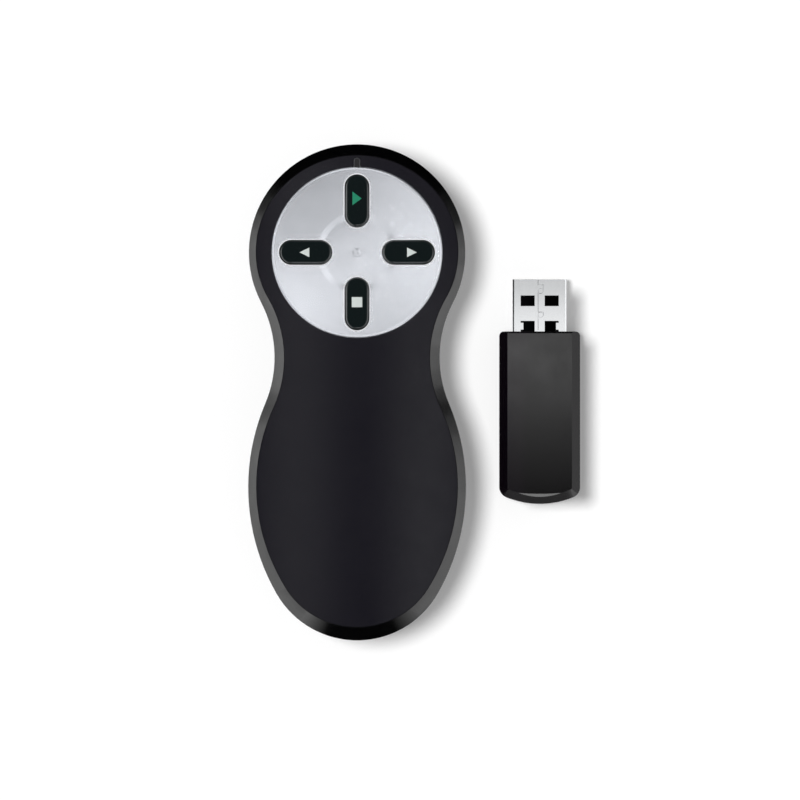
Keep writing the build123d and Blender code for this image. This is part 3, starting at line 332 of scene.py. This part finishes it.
def spun_silver():
    """Silver lacquer over a disc brushed in circles: its shine fans out from the middle."""
    finish = Finish("spun_silver")
    radius = finish.nodes.new("ShaderNodeVectorMath")
    radius.operation = "LENGTH"
    finish.link(finish.stretched((1, 1, 0)), radius.inputs[0])
    lines = finish.nodes.new("ShaderNodeTexNoise")
    lines.noise_dimensions = "1D"
    lines.inputs["Scale"].default_value = 1 / (0.25 * MM)  # a line every quarter of a millimetre
    finish.link(radius.outputs["Value"], lines.inputs["W"])
    finish.colour(finish.blend(lines.outputs["Fac"], (0.79, 0.815, 0.87), (0.87, 0.895, 0.95)))
    finish.roughness(finish.noise(3 * MM, 3.0), 0.24, 0.27)
    finish.relief(lines.outputs["Fac"], 0.002 * MM, 0.12)
    # the brushing runs round the middle of the disc, so the shine spreads across it
    around = finish.nodes.new("ShaderNodeVectorMath")
    around.operation = "CROSS_PRODUCT"
    around.inputs[0].default_value = (0, 0, 1)
    finish.link(finish.place, around.inputs[1])
    finish.link(around.outputs["Vector"], finish.shader.inputs["Tangent"])
    finish.set(Metallic=0.8, Anisotropic=0.3)
    return finish.material


def silver_paint(name, dark, light, metal):
    """Silver lacquer with fine metal flake."""
    finish = Finish(name)
    finish.colour(finish.blend(finish.cells(0.09 * MM), dark, light))
    finish.roughness(finish.noise(3 * MM, 3.0), 0.28, 0.33)
    finish.relief(finish.cells(0.12 * MM), 0.004 * MM, 0.3)
    finish.set(Metallic=metal)
    return finish.material


def button_gloss():
    """Polished smoked black of the four buttons, a little green."""
    finish = Finish("button_gloss")
    worn = finish.worn(0.15 * MM, 0.08, 0.8 * MM)
    finish.colour(finish.blend(worn, (0.0060, 0.0095, 0.0100), (0.03, 0.036, 0.038)))
    finish.roughness(finish.noise(1.8 * MM, 3.0), 0.14, 0.2)
    finish.relief(finish.noise(1.1 * MM), 0.004 * MM, 0.3)
    return finish.material


def smoked_resin():
    """Smoked clear resin of the small window over the light."""
    finish = Finish("smoked_resin")
    finish.colour(finish.blend(finish.noise(0.7 * MM), (0.004, 0.004, 0.005), (0.008, 0.008, 0.01)))
    finish.roughness(finish.noise(0.5 * MM), 0.08, 0.14)
    finish.relief(finish.noise(0.6 * MM), 0.003 * MM, 0.3)
    finish.set(Coat_Weight=0.5, Coat_Roughness=0.05)
    return finish.material


def receiver_gloss():
    """Polished black of the receiver's two shells."""
    finish = Finish("receiver_gloss")
    worn = finish.worn(0.2 * MM, 0.06, 1.0 * MM)
    finish.colour(finish.blend(worn, (0.0024, 0.0010, 0.0026), (0.02, 0.02, 0.022)))
    finish.roughness(finish.noise(5 * MM, 3.0), 0.15, 0.2)
    finish.relief(finish.noise(2.2 * MM), 0.006 * MM, 0.3)
    return finish.material


def brushed_metal(name, light, dark, smooth, rough, grain):
    """Plated sheet or wire with fine streaks along Y."""
    finish = Finish(name)
    streaks = finish.noise(grain, 4.0, finish.stretched((1, 0.04, 1)))
    finish.colour(finish.blend(streaks, dark, light))
    finish.roughness(streaks, smooth, rough)
    finish.relief(streaks, 0.003 * MM, 0.3)
    finish.set(Metallic=1.0)
    return finish.material


def moulded_resin(name, base, speck, grain, low, high, shine=0.5):
    """Plain moulded resin with a faint mottle."""
    finish = Finish(name)
    finish.colour(finish.blend(finish.noise(grain, 3.0), base, speck))
    finish.roughness(finish.noise(grain * 3), low, high)
    finish.relief(finish.noise(grain * 0.4, 3.0), 0.005 * MM, 0.4)
    finish.set(Specular_IOR_Level=shine)
    return finish.material


def cell_sleeve():
    """Printed sleeve of a dry cell: a dark body with one bright band, and bare metal at both ends."""
    bare = (0.62, 0.6, 0.56)
    sleeve = (0.02, 0.03, 0.055)
    band = (0.45, 0.46, 0.48)
    # the share of the length at which each begins
    steps = ((0.0, bare), (0.03, sleeve), (0.72, band), (0.75, sleeve), (0.97, bare))
    finish = Finish("cell_sleeve")
    low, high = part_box("cell_left")
    split = finish.nodes.new("ShaderNodeSeparateXYZ")
    finish.link(finish.place, split.inputs[0])
    along = finish.fit(split.outputs["Y"], low.y, high.y, 0.0, 1.0)
    bands = finish.nodes.new("ShaderNodeValToRGB")
    bands.color_ramp.interpolation = "CONSTANT"
    for share, tint in steps:
        stop = bands.color_ramp.elements.new(share) if share else bands.color_ramp.elements[0]
        stop.color = (*tint, 1)
    last = max(bands.color_ramp.elements, key=lambda stop: stop.position)
    last.color = (*bare, 1)
    finish.link(along, bands.inputs["Fac"])
    finish.colour(finish.blend(finish.fit(finish.noise(2 * MM), 0.0, 1.0, 0.0, 0.15),
                               bands.outputs["Color"], (0.3, 0.3, 0.3)))
    finish.roughness(finish.noise(3 * MM), 0.25, 0.33)
    finish.set(Metallic=0.6)
    return finish.material


def solder_mask():
    """Green lacquered laminate with copper tracks showing through."""
    finish = Finish("solder_mask")
    tracks = finish.nodes.new("ShaderNodeTexBrick")
    tracks.inputs["Scale"].default_value = 260  # tracks about a millimetre apart
    tracks.inputs["Mortar Size"].default_value = 0.03
    finish.link(finish.place, tracks.inputs["Vector"])
    finish.colour(finish.blend(tracks.outputs["Fac"], (0.008, 0.09, 0.04), (0.03, 0.2, 0.09)))
    finish.roughness(finish.noise(2 * MM), 0.28, 0.4)
    finish.relief(tracks.outputs["Fac"], 0.03 * MM, 0.4)
    return finish.material


def printed_ink(name, base, speck):
    """Pad-printed ink: a slightly uneven film."""
    finish = Finish(name)
    finish.colour(finish.blend(finish.noise(0.5 * MM, 3.0), base, speck))
    finish.roughness(finish.noise(0.3 * MM), 0.38, 0.5)
    finish.relief(finish.noise(0.1 * MM), 0.003 * MM, 0.3)
    return finish.material


def dress_nodes():
    """Gives every node of the model its finish, by the slot that it came with."""
    finishes = {
        "case_plastic": satin_case(),
        "gloss_case": polished_case(),
        "soft_panel": soft_touch(),
        "silver_disc": spun_silver(),
        "smoked_window": smoked_resin(),
        "board_laminate": solder_mask(),
        "chip_resin": moulded_resin("chip_resin_dull", (0.015, 0.015, 0.016), (0.03, 0.03, 0.03),
                                    0.2 * MM, 0.5, 0.6),
        "led_resin": moulded_resin("lamp_resin", (0.7, 0.72, 0.55), (0.8, 0.8, 0.7),
                                   0.3 * MM, 0.15, 0.25),
        "screw_steel": brushed_metal("zinc_plate", (0.5, 0.5, 0.52), (0.36, 0.36, 0.38),
                                     0.28, 0.38, 0.2 * MM),
        "nickel_plate": brushed_metal("spring_nickel", (0.66, 0.63, 0.58), (0.5, 0.47, 0.43),
                                      0.2, 0.3, 0.2 * MM),
        "cell_can": cell_sleeve(),
        "button_plastic": button_gloss(),
        "plunger_resin": moulded_resin("plunger_ivory", (0.6, 0.6, 0.55), (0.68, 0.67, 0.62),
                                       0.4 * MM, 0.35, 0.45),
        "switch_body": moulded_resin("switch_black", (0.02, 0.02, 0.022), (0.035, 0.035, 0.037),
                                     0.3 * MM, 0.4, 0.5),
        "receiver_plastic": receiver_gloss(),
        "plug_steel": brushed_metal("plug_nickel", (0.65, 0.66, 0.67), (0.61, 0.62, 0.63),
                                    0.13, 0.18, 0.1 * MM),
        "plug_resin": moulded_resin("tongue_black", (0.0012, 0.0012, 0.0013), (0.0024, 0.0024, 0.0026),
                                    0.3 * MM, 0.4, 0.5, 0.05),
        "gold_plate": brushed_metal("contact_gold", (0.85, 0.62, 0.28), (0.72, 0.5, 0.2),
                                    0.2, 0.28, 0.1 * MM),
    }
    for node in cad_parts.values():
        slots = node.data.materials
        slots[0] = finishes[slots[0].name]


# ---- modelling helpers ----


def start_piece():
    """Leaves edit mode and lets go of everything."""
    if bpy.context.object and bpy.context.object.mode == "EDIT":
        bpy.ops.object.mode_set(mode="OBJECT")
    bpy.ops.object.select_all(action="DESELECT")


def settle(name, material, body, smooth_angle):
    """Names the new piece, dresses it and lets it ride on a body."""
    start_piece()
    piece = bpy.context.object
    piece.select_set(True)
    piece.name = name
    piece.data.name = name
    piece.data.materials.clear()
    piece.data.materials.append(material)
    bpy.ops.object.shade_smooth_by_angle(angle=radians(smooth_angle))
    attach(piece, body)


def apply_modifier(kind, **settings):
    """Adds one modifier to the current object and applies it."""
    piece = bpy.context.object
    modifier = piece.modifiers.new(kind.title(), kind)
    for name, value in settings.items():
        setattr(modifier, name, value)
    bpy.ops.object.modifier_apply(modifier=modifier.name)


def pick(test, kind="VERT"):
    """Enters edit mode with the points or faces of the current piece selected whose place passes a test."""
    piece = bpy.context.object
    bpy.ops.object.mode_set(mode="EDIT")
    bpy.ops.mesh.select_mode(type=kind)
    bpy.ops.mesh.select_all(action="DESELECT")
    bpy.ops.object.mode_set(mode="OBJECT")
    for part in piece.data.polygons if kind == "FACE" else piece.data.vertices:
        part.select = test(part.center if kind == "FACE" else part.co)
    bpy.ops.object.mode_set(mode="EDIT")


def move(x, y):
    """Moves what is selected."""
    bpy.ops.transform.translate(value=(x, y, 0))


def draw_line(x=0.0, y=0.0):
    """Draws a line on from the point that is selected."""
    bpy.ops.mesh.extrude_region_move(TRANSFORM_OT_translate={"value": (x, y, 0)})


def flip_out():
    """Turns all faces of the current piece outwards."""
    bpy.ops.object.mode_set(mode="EDIT")
    bpy.ops.mesh.select_all(action="SELECT")
    bpy.ops.mesh.normals_make_consistent(inside=False)
    bpy.ops.object.mode_set(mode="OBJECT")


def bead_from_edges(radius):
    """Turns the current piece, made of edges, into a round bead along them."""
    bpy.context.object.select_set(True)
    bpy.ops.object.convert(target="CURVE")
    line = bpy.context.object
    line.data.bevel_depth = radius
    line.data.bevel_resolution = 2
    line.data.use_fill_caps = True
    bpy.ops.object.convert(target="MESH")


def lay_down(node, upwards=False):
    """Projects the current piece along Z onto a node of the model."""
    apply_modifier("SHRINKWRAP", target=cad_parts[node], wrap_method="PROJECT", use_project_z=True,
                   use_negative_direction=not upwards, use_positive_direction=upwards)


# ---- added pieces ----


def slot_bead(key, material):
    """The rolled bead round one button slot, laid on the dish: a circle whose halves are pulled apart."""
    middle = middle_of(f"{key}_button")
    along_x, along_y = (abs(step) * SLOT_HALF_STRAIGHT for step in KEYS[key])
    start_piece()
    bpy.ops.mesh.primitive_circle_add(vertices=BEAD_STEPS, radius=SLOT_HALF_WIDTH + BEAD_SEAT,
                                      location=(middle.x, middle.y, top_of("thumb_disc")),
                                      rotation=(0, 0, pi / BEAD_STEPS))
    bpy.ops.object.transform_apply(location=True, rotation=True, scale=True)
    for end in (1, -1):
        pick(lambda place: ((place.x - middle.x) * along_x + (place.y - middle.y) * along_y) * end > 0)
        move(end * along_x, end * along_y)
        bpy.ops.object.mode_set(mode="OBJECT")
    lay_down("thumb_disc")
    bead_from_edges(BEAD_RADIUS)
    settle(f"{key}_slot_bead", material, "handle", SOFT_EDGES)


def printed_mark(key, size, sides, material):
    """The mark on one button: an arrowhead with three sides or a square with four."""
    length, width, outwards = size
    button = f"{key}_button"
    middle = middle_of(button) + Vector((*KEYS[key], 0)) * outwards
    reach = length / 1.5 if sides == 3 else length / sqrt(2)
    # a three-sided prism of radius r is 1.5 r long and root 3 r wide, and its middle lies r / 4 off
    stretch = width / (reach * sqrt(3)) if sides == 3 else width / length
    forwards = -1 if key == "back" else 1
    turn = pi / 4 if sides == 4 else -forwards * pi / 2
    shift = forwards * reach / 4 if sides == 3 else 0
    start_piece()
    bpy.ops.mesh.primitive_cylinder_add(vertices=sides, radius=reach, depth=MARK_HEIGHT,
                                        location=(middle.x - shift, middle.y, top_of(button)),
                                        rotation=(0, 0, turn))
    bpy.ops.object.transform_apply(location=True, rotation=True, scale=True)
    pick(lambda place: True)
    bpy.ops.transform.resize(value=(1, stretch, 1), center_override=(middle.x, middle.y, top_of(button)))
    bpy.ops.object.mode_set(mode="OBJECT")
    apply_modifier("BEVEL", width=MARK_CORNER, segments=3, limit_method="ANGLE", angle_limit=radians(40),
                   affect="EDGES")
    flip_out()
    settle(f"{key}_mark", material, f"{key}_key", CRISP_EDGES)


def lamp_arch(material):
    """The thin raised arch round the small window over the light, open towards the disc."""
    low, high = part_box("light_guide")
    x = (low.x + high.x) / 2
    radius = (high.x - low.x) / 2 - ARCH_BEAD
    foot = high.y - radius - ARCH_BEAD
    start_piece()
    bpy.ops.mesh.primitive_circle_add(vertices=ARCH_STEPS, radius=radius, location=(x, foot, high.z))
    bpy.ops.object.transform_apply(location=True, rotation=True, scale=True)
    pick(lambda place: place.y < foot - NEAR)
    bpy.ops.mesh.delete(type="VERT")
    bpy.ops.object.mode_set(mode="OBJECT")
    for side in (1, -1):
        pick(lambda place: abs(place.y - foot) < NEAR and (place.x - x) * side > 0)
        draw_line(y=low.y - foot)
        bpy.ops.object.mode_set(mode="OBJECT")
    bead_from_edges(ARCH_BEAD)
    settle("lamp_arch", material, "handle", SOFT_EDGES)


def plug_joint(material):
    """The dark line in the joint of the plug's sheet: a point drawn out, with a round head at each lock."""
    low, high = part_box("plug_shell")
    x = (low.x + high.x) / 2 + JOINT_X
    top = high.y - JOINT_START
    level = high.z - JOINT_SINK
    start_piece()
    # of this square only one corner is kept, the point that the line is drawn from
    bpy.ops.mesh.primitive_plane_add(size=MM, location=(x + MM / 2, top - MM / 2, level))
    bpy.ops.object.transform_apply(location=True)
    pick(lambda place: (place.xy - Vector((x, top))).length > NEAR)
    bpy.ops.mesh.delete(type="VERT")
    bpy.ops.mesh.select_all(action="SELECT")
    drawn = JOINT_START
    for lock, neck in LOCKS:
        draw_line(y=drawn - lock)
        draw_line(x=2 * LOCK_RADIUS)
        draw_line(y=-neck)
        drawn = lock + neck
        neck_end = Vector((x, high.y - drawn))
        bpy.ops.mesh.spin(steps=LOCK_STEPS, angle=2 * pi, use_auto_merge=True,
                          center=(x + LOCK_RADIUS, neck_end.y, level), axis=(0, 0, 1))
        bpy.ops.object.mode_set(mode="OBJECT")
        pick(lambda place: (place.xy - neck_end).length < NEAR)
    draw_line(y=drawn - JOINT_END)
    bpy.ops.object.mode_set(mode="OBJECT")
    bead_from_edges(JOINT_LINE)
    settle("plug_joint_line", material, "receiver", SOFT_EDGES)


def polarity_mark(cell, name, from_tip, crossed, material):
    """A plus or minus sign printed on the sleeve of a cell, on the side that the door covers."""
    low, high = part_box(cell)
    x = (low.x + high.x) / 2
    # the left cell's tip points to the head and the right one's to the tail
    y = high.y - from_tip if cell == "cell_left" else low.y + from_tip
    start_piece()
    bpy.ops.mesh.primitive_grid_add(x_subdivisions=SIGN_STEPS, y_subdivisions=SIGN_STEPS, size=SIGN_SIZE,
                                    location=(x, y, low.z - SIGN_SIZE / 2))
    bpy.ops.object.transform_apply(location=True, rotation=True, scale=True)
    if crossed:
        pick(lambda place: min(abs(place.x - x), abs(place.y - y)) > SIGN_HALF_STROKE, "FACE")
    else:
        pick(lambda place: abs(place.y - y) > SIGN_HALF_STROKE, "FACE")
    bpy.ops.mesh.delete(type="FACE")
    bpy.ops.object.mode_set(mode="OBJECT")
    lay_down(cell, upwards=True)
    apply_modifier("SOLIDIFY", thickness=SIGN_HEIGHT, offset=0.0)
    flip_out()
    settle(name, material, "handle", CRISP_EDGES)


def build_pieces():
    """Everything that is added to the model."""
    # the beads wear the disc's silver lacquer, painted lighter and less metallic than the disc as a painted
    # highlight round each slot
    rim = silver_paint("bead_silver_painted_highlight", (0.90, 0.91, 0.94), (0.95, 0.96, 0.98), 0.25)
    white = printed_ink("ink_white", (0.55, 0.6, 0.58), (0.62, 0.66, 0.64))
    green = printed_ink("ink_green", (0.012, 0.19, 0.105), (0.018, 0.24, 0.13))
    smoke = moulded_resin("arch_resin", (0.035, 0.035, 0.04), (0.05, 0.05, 0.055), 0.2 * MM, 0.25, 0.35)
    for key in KEYS:
        slot_bead(key, rim)
    printed_mark("play", PLAY_MARK, 3, green)
    printed_mark("next", NEXT_MARK, 3, white)
    printed_mark("back", BACK_MARK, 3, white)
    printed_mark("stop", STOP_MARK, 4, white)
    lamp_arch(smoke)
    plug_joint(brushed_metal("joint_oxide", (0.32, 0.32, 0.33), (0.27, 0.27, 0.28), 0.3, 0.4, 0.1 * MM))
    for cell in ("cell_left", "cell_right"):
        low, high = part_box(cell)
        polarity_mark(cell, f"{cell}_plus", SIGN_AT, True, white)
        polarity_mark(cell, f"{cell}_minus", high.y - low.y - SIGN_AT, False, white)


# ---- studio ----


def sees(flags, thing):
    """Which rays meet a thing; all others pass it."""
    for ray in ("camera", "diffuse", "glossy", "transmission", "volume_scatter", "shadow"):
        setattr(thing, f"visible_{ray}", ray in flags)


def white_share(nodes, links):
    """1 for what the camera, a gloss or clear resin sees, and 0 for the light that falls on things."""
    path = nodes.new("ShaderNodeLightPath")
    first = nodes.new("ShaderNodeMath")
    second = nodes.new("ShaderNodeMath")
    for node in (first, second):
        node.operation = "MAXIMUM"
    links.new(path.outputs["Is Camera Ray"], first.inputs[0])
    links.new(path.outputs["Is Glossy Ray"], first.inputs[1])
    links.new(first.outputs[0], second.inputs[0])
    links.new(path.outputs["Is Transmission Ray"], second.inputs[1])
    return second.outputs[0]


def make_floor():
    """A plain white floor that keeps the shadow and can be looked through from below."""
    start_piece()
    bpy.ops.mesh.primitive_plane_add(size=FLOOR_SIZE, location=(0, 0, FLOOR_LEVEL))
    floor = bpy.context.object
    floor.name = "floor"
    material = bpy.data.materials.new("floor_paper")
    material.use_nodes = True
    nodes = material.node_tree.nodes
    links = material.node_tree.links
    nodes.remove(nodes["Principled BSDF"])
    paper = nodes.new("ShaderNodeBsdfDiffuse")
    paper.inputs["Color"].default_value = FLOOR_WHITE
    glow = nodes.new("ShaderNodeEmission")
    clear = nodes.new("ShaderNodeBsdfTransparent")
    share = nodes.new("ShaderNodeMath")
    share.operation = "MULTIPLY"
    share.inputs[1].default_value = FLOOR_GLOW
    links.new(white_share(nodes, links), share.inputs[0])
    lit = nodes.new("ShaderNodeMixShader")
    links.new(share.outputs[0], lit.inputs["Fac"])
    links.new(paper.outputs[0], lit.inputs[1])
    links.new(glow.outputs[0], lit.inputs[2])
    sides = nodes.new("ShaderNodeMixShader")
    links.new(nodes.new("ShaderNodeNewGeometry").outputs["Backfacing"], sides.inputs["Fac"])
    links.new(lit.outputs[0], sides.inputs[1])
    links.new(clear.outputs[0], sides.inputs[2])
    links.new(sides.outputs[0], nodes["Material Output"].inputs["Surface"])
    floor.data.materials.append(material)


def make_world():
    """White to look at, dim as a light."""
    world = bpy.data.worlds.new("studio")
    bpy.context.scene.world = world
    world.use_nodes = True
    nodes = world.node_tree.nodes
    links = world.node_tree.links
    backdrop = nodes["Background"]
    backdrop.inputs["Color"].default_value = (1, 1, 1, 1)
    strength = nodes.new("ShaderNodeMapRange")
    strength.inputs["To Min"].default_value = WORLD_LIGHT
    strength.inputs["To Max"].default_value = 1.0
    links.new(white_share(nodes, links), strength.inputs["Value"])
    links.new(strength.outputs["Result"], backdrop.inputs["Strength"])


def card(name, middle, size, turn, glow=BLACK, rays=("glossy",)):
    """A flat card that only some rays meet: black, or glowing from its left edge to its right edge."""
    start_piece()
    bpy.ops.mesh.primitive_plane_add(size=1.0, location=middle, rotation=[radians(angle) for angle in turn])
    flag = bpy.context.object
    flag.scale = (*size, 1)
    flag.name = name
    material = bpy.data.materials.new(name)
    material.use_nodes = True
    nodes = material.node_tree.nodes
    links = material.node_tree.links
    nodes.remove(nodes["Principled BSDF"])
    split = nodes.new("ShaderNodeSeparateXYZ")
    links.new(nodes.new("ShaderNodeTexCoord").outputs["Object"], split.inputs[0])
    fade = nodes.new("ShaderNodeMapRange")
    # the plane is 1 across, so its edges lie at -0.5 and 0.5
    fade.inputs["From Min"].default_value = -0.5
    fade.inputs["From Max"].default_value = 0.5
    fade.inputs["To Min"].default_value, fade.inputs["To Max"].default_value = glow
    links.new(split.outputs["X"], fade.inputs["Value"])
    face = nodes.new("ShaderNodeEmission")
    links.new(fade.outputs["Result"], face.inputs["Strength"])
    links.new(face.outputs[0], nodes["Material Output"].inputs["Surface"])
    flag.data.materials.append(material)
    sees(rays, flag)
    return flag


def light_group(name, things, state="INCLUDE"):
    """A set of things that a lamp lights or that its light passes."""
    members = bpy.data.collections.new(name)
    for thing in things:
        members.objects.link(thing)
    for member in members.collection_objects:
        member.light_linking.link_state = state
    return members


def softbox(name, middle, aim, size, glow, lights, passes):
    """A soft lamp that gives glosses their highlights; glow is how bright its face is."""
    lamp = bpy.data.lights.new(name, "AREA")
    lamp.shape = "RECTANGLE"
    lamp.size, lamp.size_y = size
    lamp.energy = glow * pi * size[0] * size[1]
    box = bpy.data.objects.new(name, lamp)
    bpy.context.scene.collection.objects.link(box)
    box.location = middle
    box.rotation_euler = (Vector(aim) - Vector(middle)).to_track_quat("-Z", "Y").to_euler()
    sees(("glossy", "shadow"), box)
    box.light_linking.receiver_collection = lights
    box.light_linking.blocker_collection = passes


def make_key():
    """The one lamp that lights things and throws their shadows."""
    sun = bpy.data.lights.new("key", "SUN")
    sun.energy = KEY_LIGHT * pi
    sun.angle = radians(KEY_SOFTNESS)
    key = bpy.data.objects.new("key", sun)
    bpy.context.scene.collection.objects.link(key)
    lean, side = radians(KEY_LEAN), radians(KEY_FROM)
    source = Vector((cos(side) * sin(lean), sin(side) * sin(lean), cos(lean)))
    key.rotation_euler = source.to_track_quat("Z", "Y").to_euler()
    sees(("diffuse", "transmission", "shadow"), key)


def make_flags():
    """Cards that glosses see: behind the head and the tail, whose bevels stay dark, and overhead."""
    card("head_flag", *HEAD_FLAG)
    card("head_floor_flag", *HEAD_FLOOR_FLAG)
    for name, (left, right, glow) in TAIL_CARDS.items():
        middle = ((left + right) / 2, TAIL_CARD_Y, TAIL_CARD_HEIGHT / 2)
        card(name, middle, (right - left, TAIL_CARD_HEIGHT), UPRIGHT, glow)
    card("ceiling_flag", *CEILING_FLAG)


def light_bevels(lights, passes):
    """Long boxes at the horizon."""
    for name, (x, y, length, glow) in HORIZON_BOXES.items():
        softbox(name, (x, y, HORIZON_HEIGHT / 2), (0, y, HORIZON_AIM), (length, HORIZON_HEIGHT), glow,
                lights, passes)


def light_top(silver, passes):
    """Boxes overhead: one set for the crowned panel and one for the dished disc."""
    dish = light_group("dish", silver)
    crown = light_group("crown", [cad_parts["top_panel"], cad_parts["light_guide"]])
    for lights, boxes in ((crown, CROWN_BOXES), (dish, DISH_BOXES)):
        for (x, y), (size, glow) in boxes.items():
            softbox(f"{lights.name}_box", (x, y, BOX_LEVEL), (x, y, 0), size, glow, lights, passes)
    softbox("dish_rim_box", *DISH_RIM_BOX, dish, passes)


def light_receiver(rest, passes):
    """Boxes and cards for the receiver: over its plug and top, at its right bevel and behind its tail."""
    receiver = middle_of("receiver_upper_shell")
    plug = light_group("plug", [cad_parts["plug_shell"], bpy.data.objects["plug_joint_line"]])
    halves = [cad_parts[f"receiver_{half}_shell"] for half in ("upper", "lower")]
    shells = light_group("shells", halves)
    for y, glow in PLUG_BOXES.items():
        softbox("plug_box", (receiver.x, y, RECEIVER_BOX_LEVEL), (receiver.x, y, 0), PLUG_BOX_SIZE, glow,
                plug, passes)
    x = receiver.x + RECEIVER_STRIP_SHIFT
    for index, glow in enumerate(RECEIVER_GLOWS):
        y = RECEIVER_STRIP_FROM - (index + 0.5) * RECEIVER_STRIP[1]
        softbox(f"receiver_box_{index + 1}", (x, y, RECEIVER_BOX_LEVEL), (x, y, 0), RECEIVER_STRIP, glow,
                shells, passes)
    card("receiver_side_card", (receiver.x + SIDE_CARD_AWAY, receiver.y, 0.0), SIDE_CARD_SIZE, SIDEWAYS,
         SIDE_CARD_GLOW)
    card("receiver_tail_card", (receiver.x, END_CARD_Y, END_CARD_SIZE[1] / 2), END_CARD_SIZE, UPRIGHT,
         END_CARD_GLOW)
    softbox("crescent_box", *CRESCENT_BOX, rest, passes)


def make_camera():
    """Looks straight down with a long lens."""
    data = bpy.data.cameras.new("camera")
    data.lens = LENS
    camera = bpy.data.objects.new("camera", data)
    bpy.context.scene.collection.objects.link(camera)
    distance = PICTURE_WIDTH * data.lens / data.sensor_width
    camera.location = (*PICTURE_MIDDLE, RIM_LEVEL + distance)
    data.clip_end = 2 * distance
    bpy.context.scene.camera = camera


def make_studio():
    """Floor, world, cards, lamps and camera."""
    make_floor()
    make_world()
    make_key()
    gobos = [card(name, *sizes, FLAT, rays=("shadow",)) for name, sizes in SHADOW_CARDS.items()]
    past = light_group("past_the_gobos", gobos, "EXCLUDE")
    make_flags()
    silver = [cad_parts["thumb_disc"]] + [bpy.data.objects[f"{key}_slot_bead"] for key in KEYS]
    rest = light_group("all_but_the_dish", silver, "EXCLUDE")
    light_bevels(rest, past)
    light_top(silver, past)
    light_receiver(rest, past)
    make_camera()


dress_nodes()
build_pieces()
make_studio()
bpy.context.scene.view_settings.view_transform = "Standard"
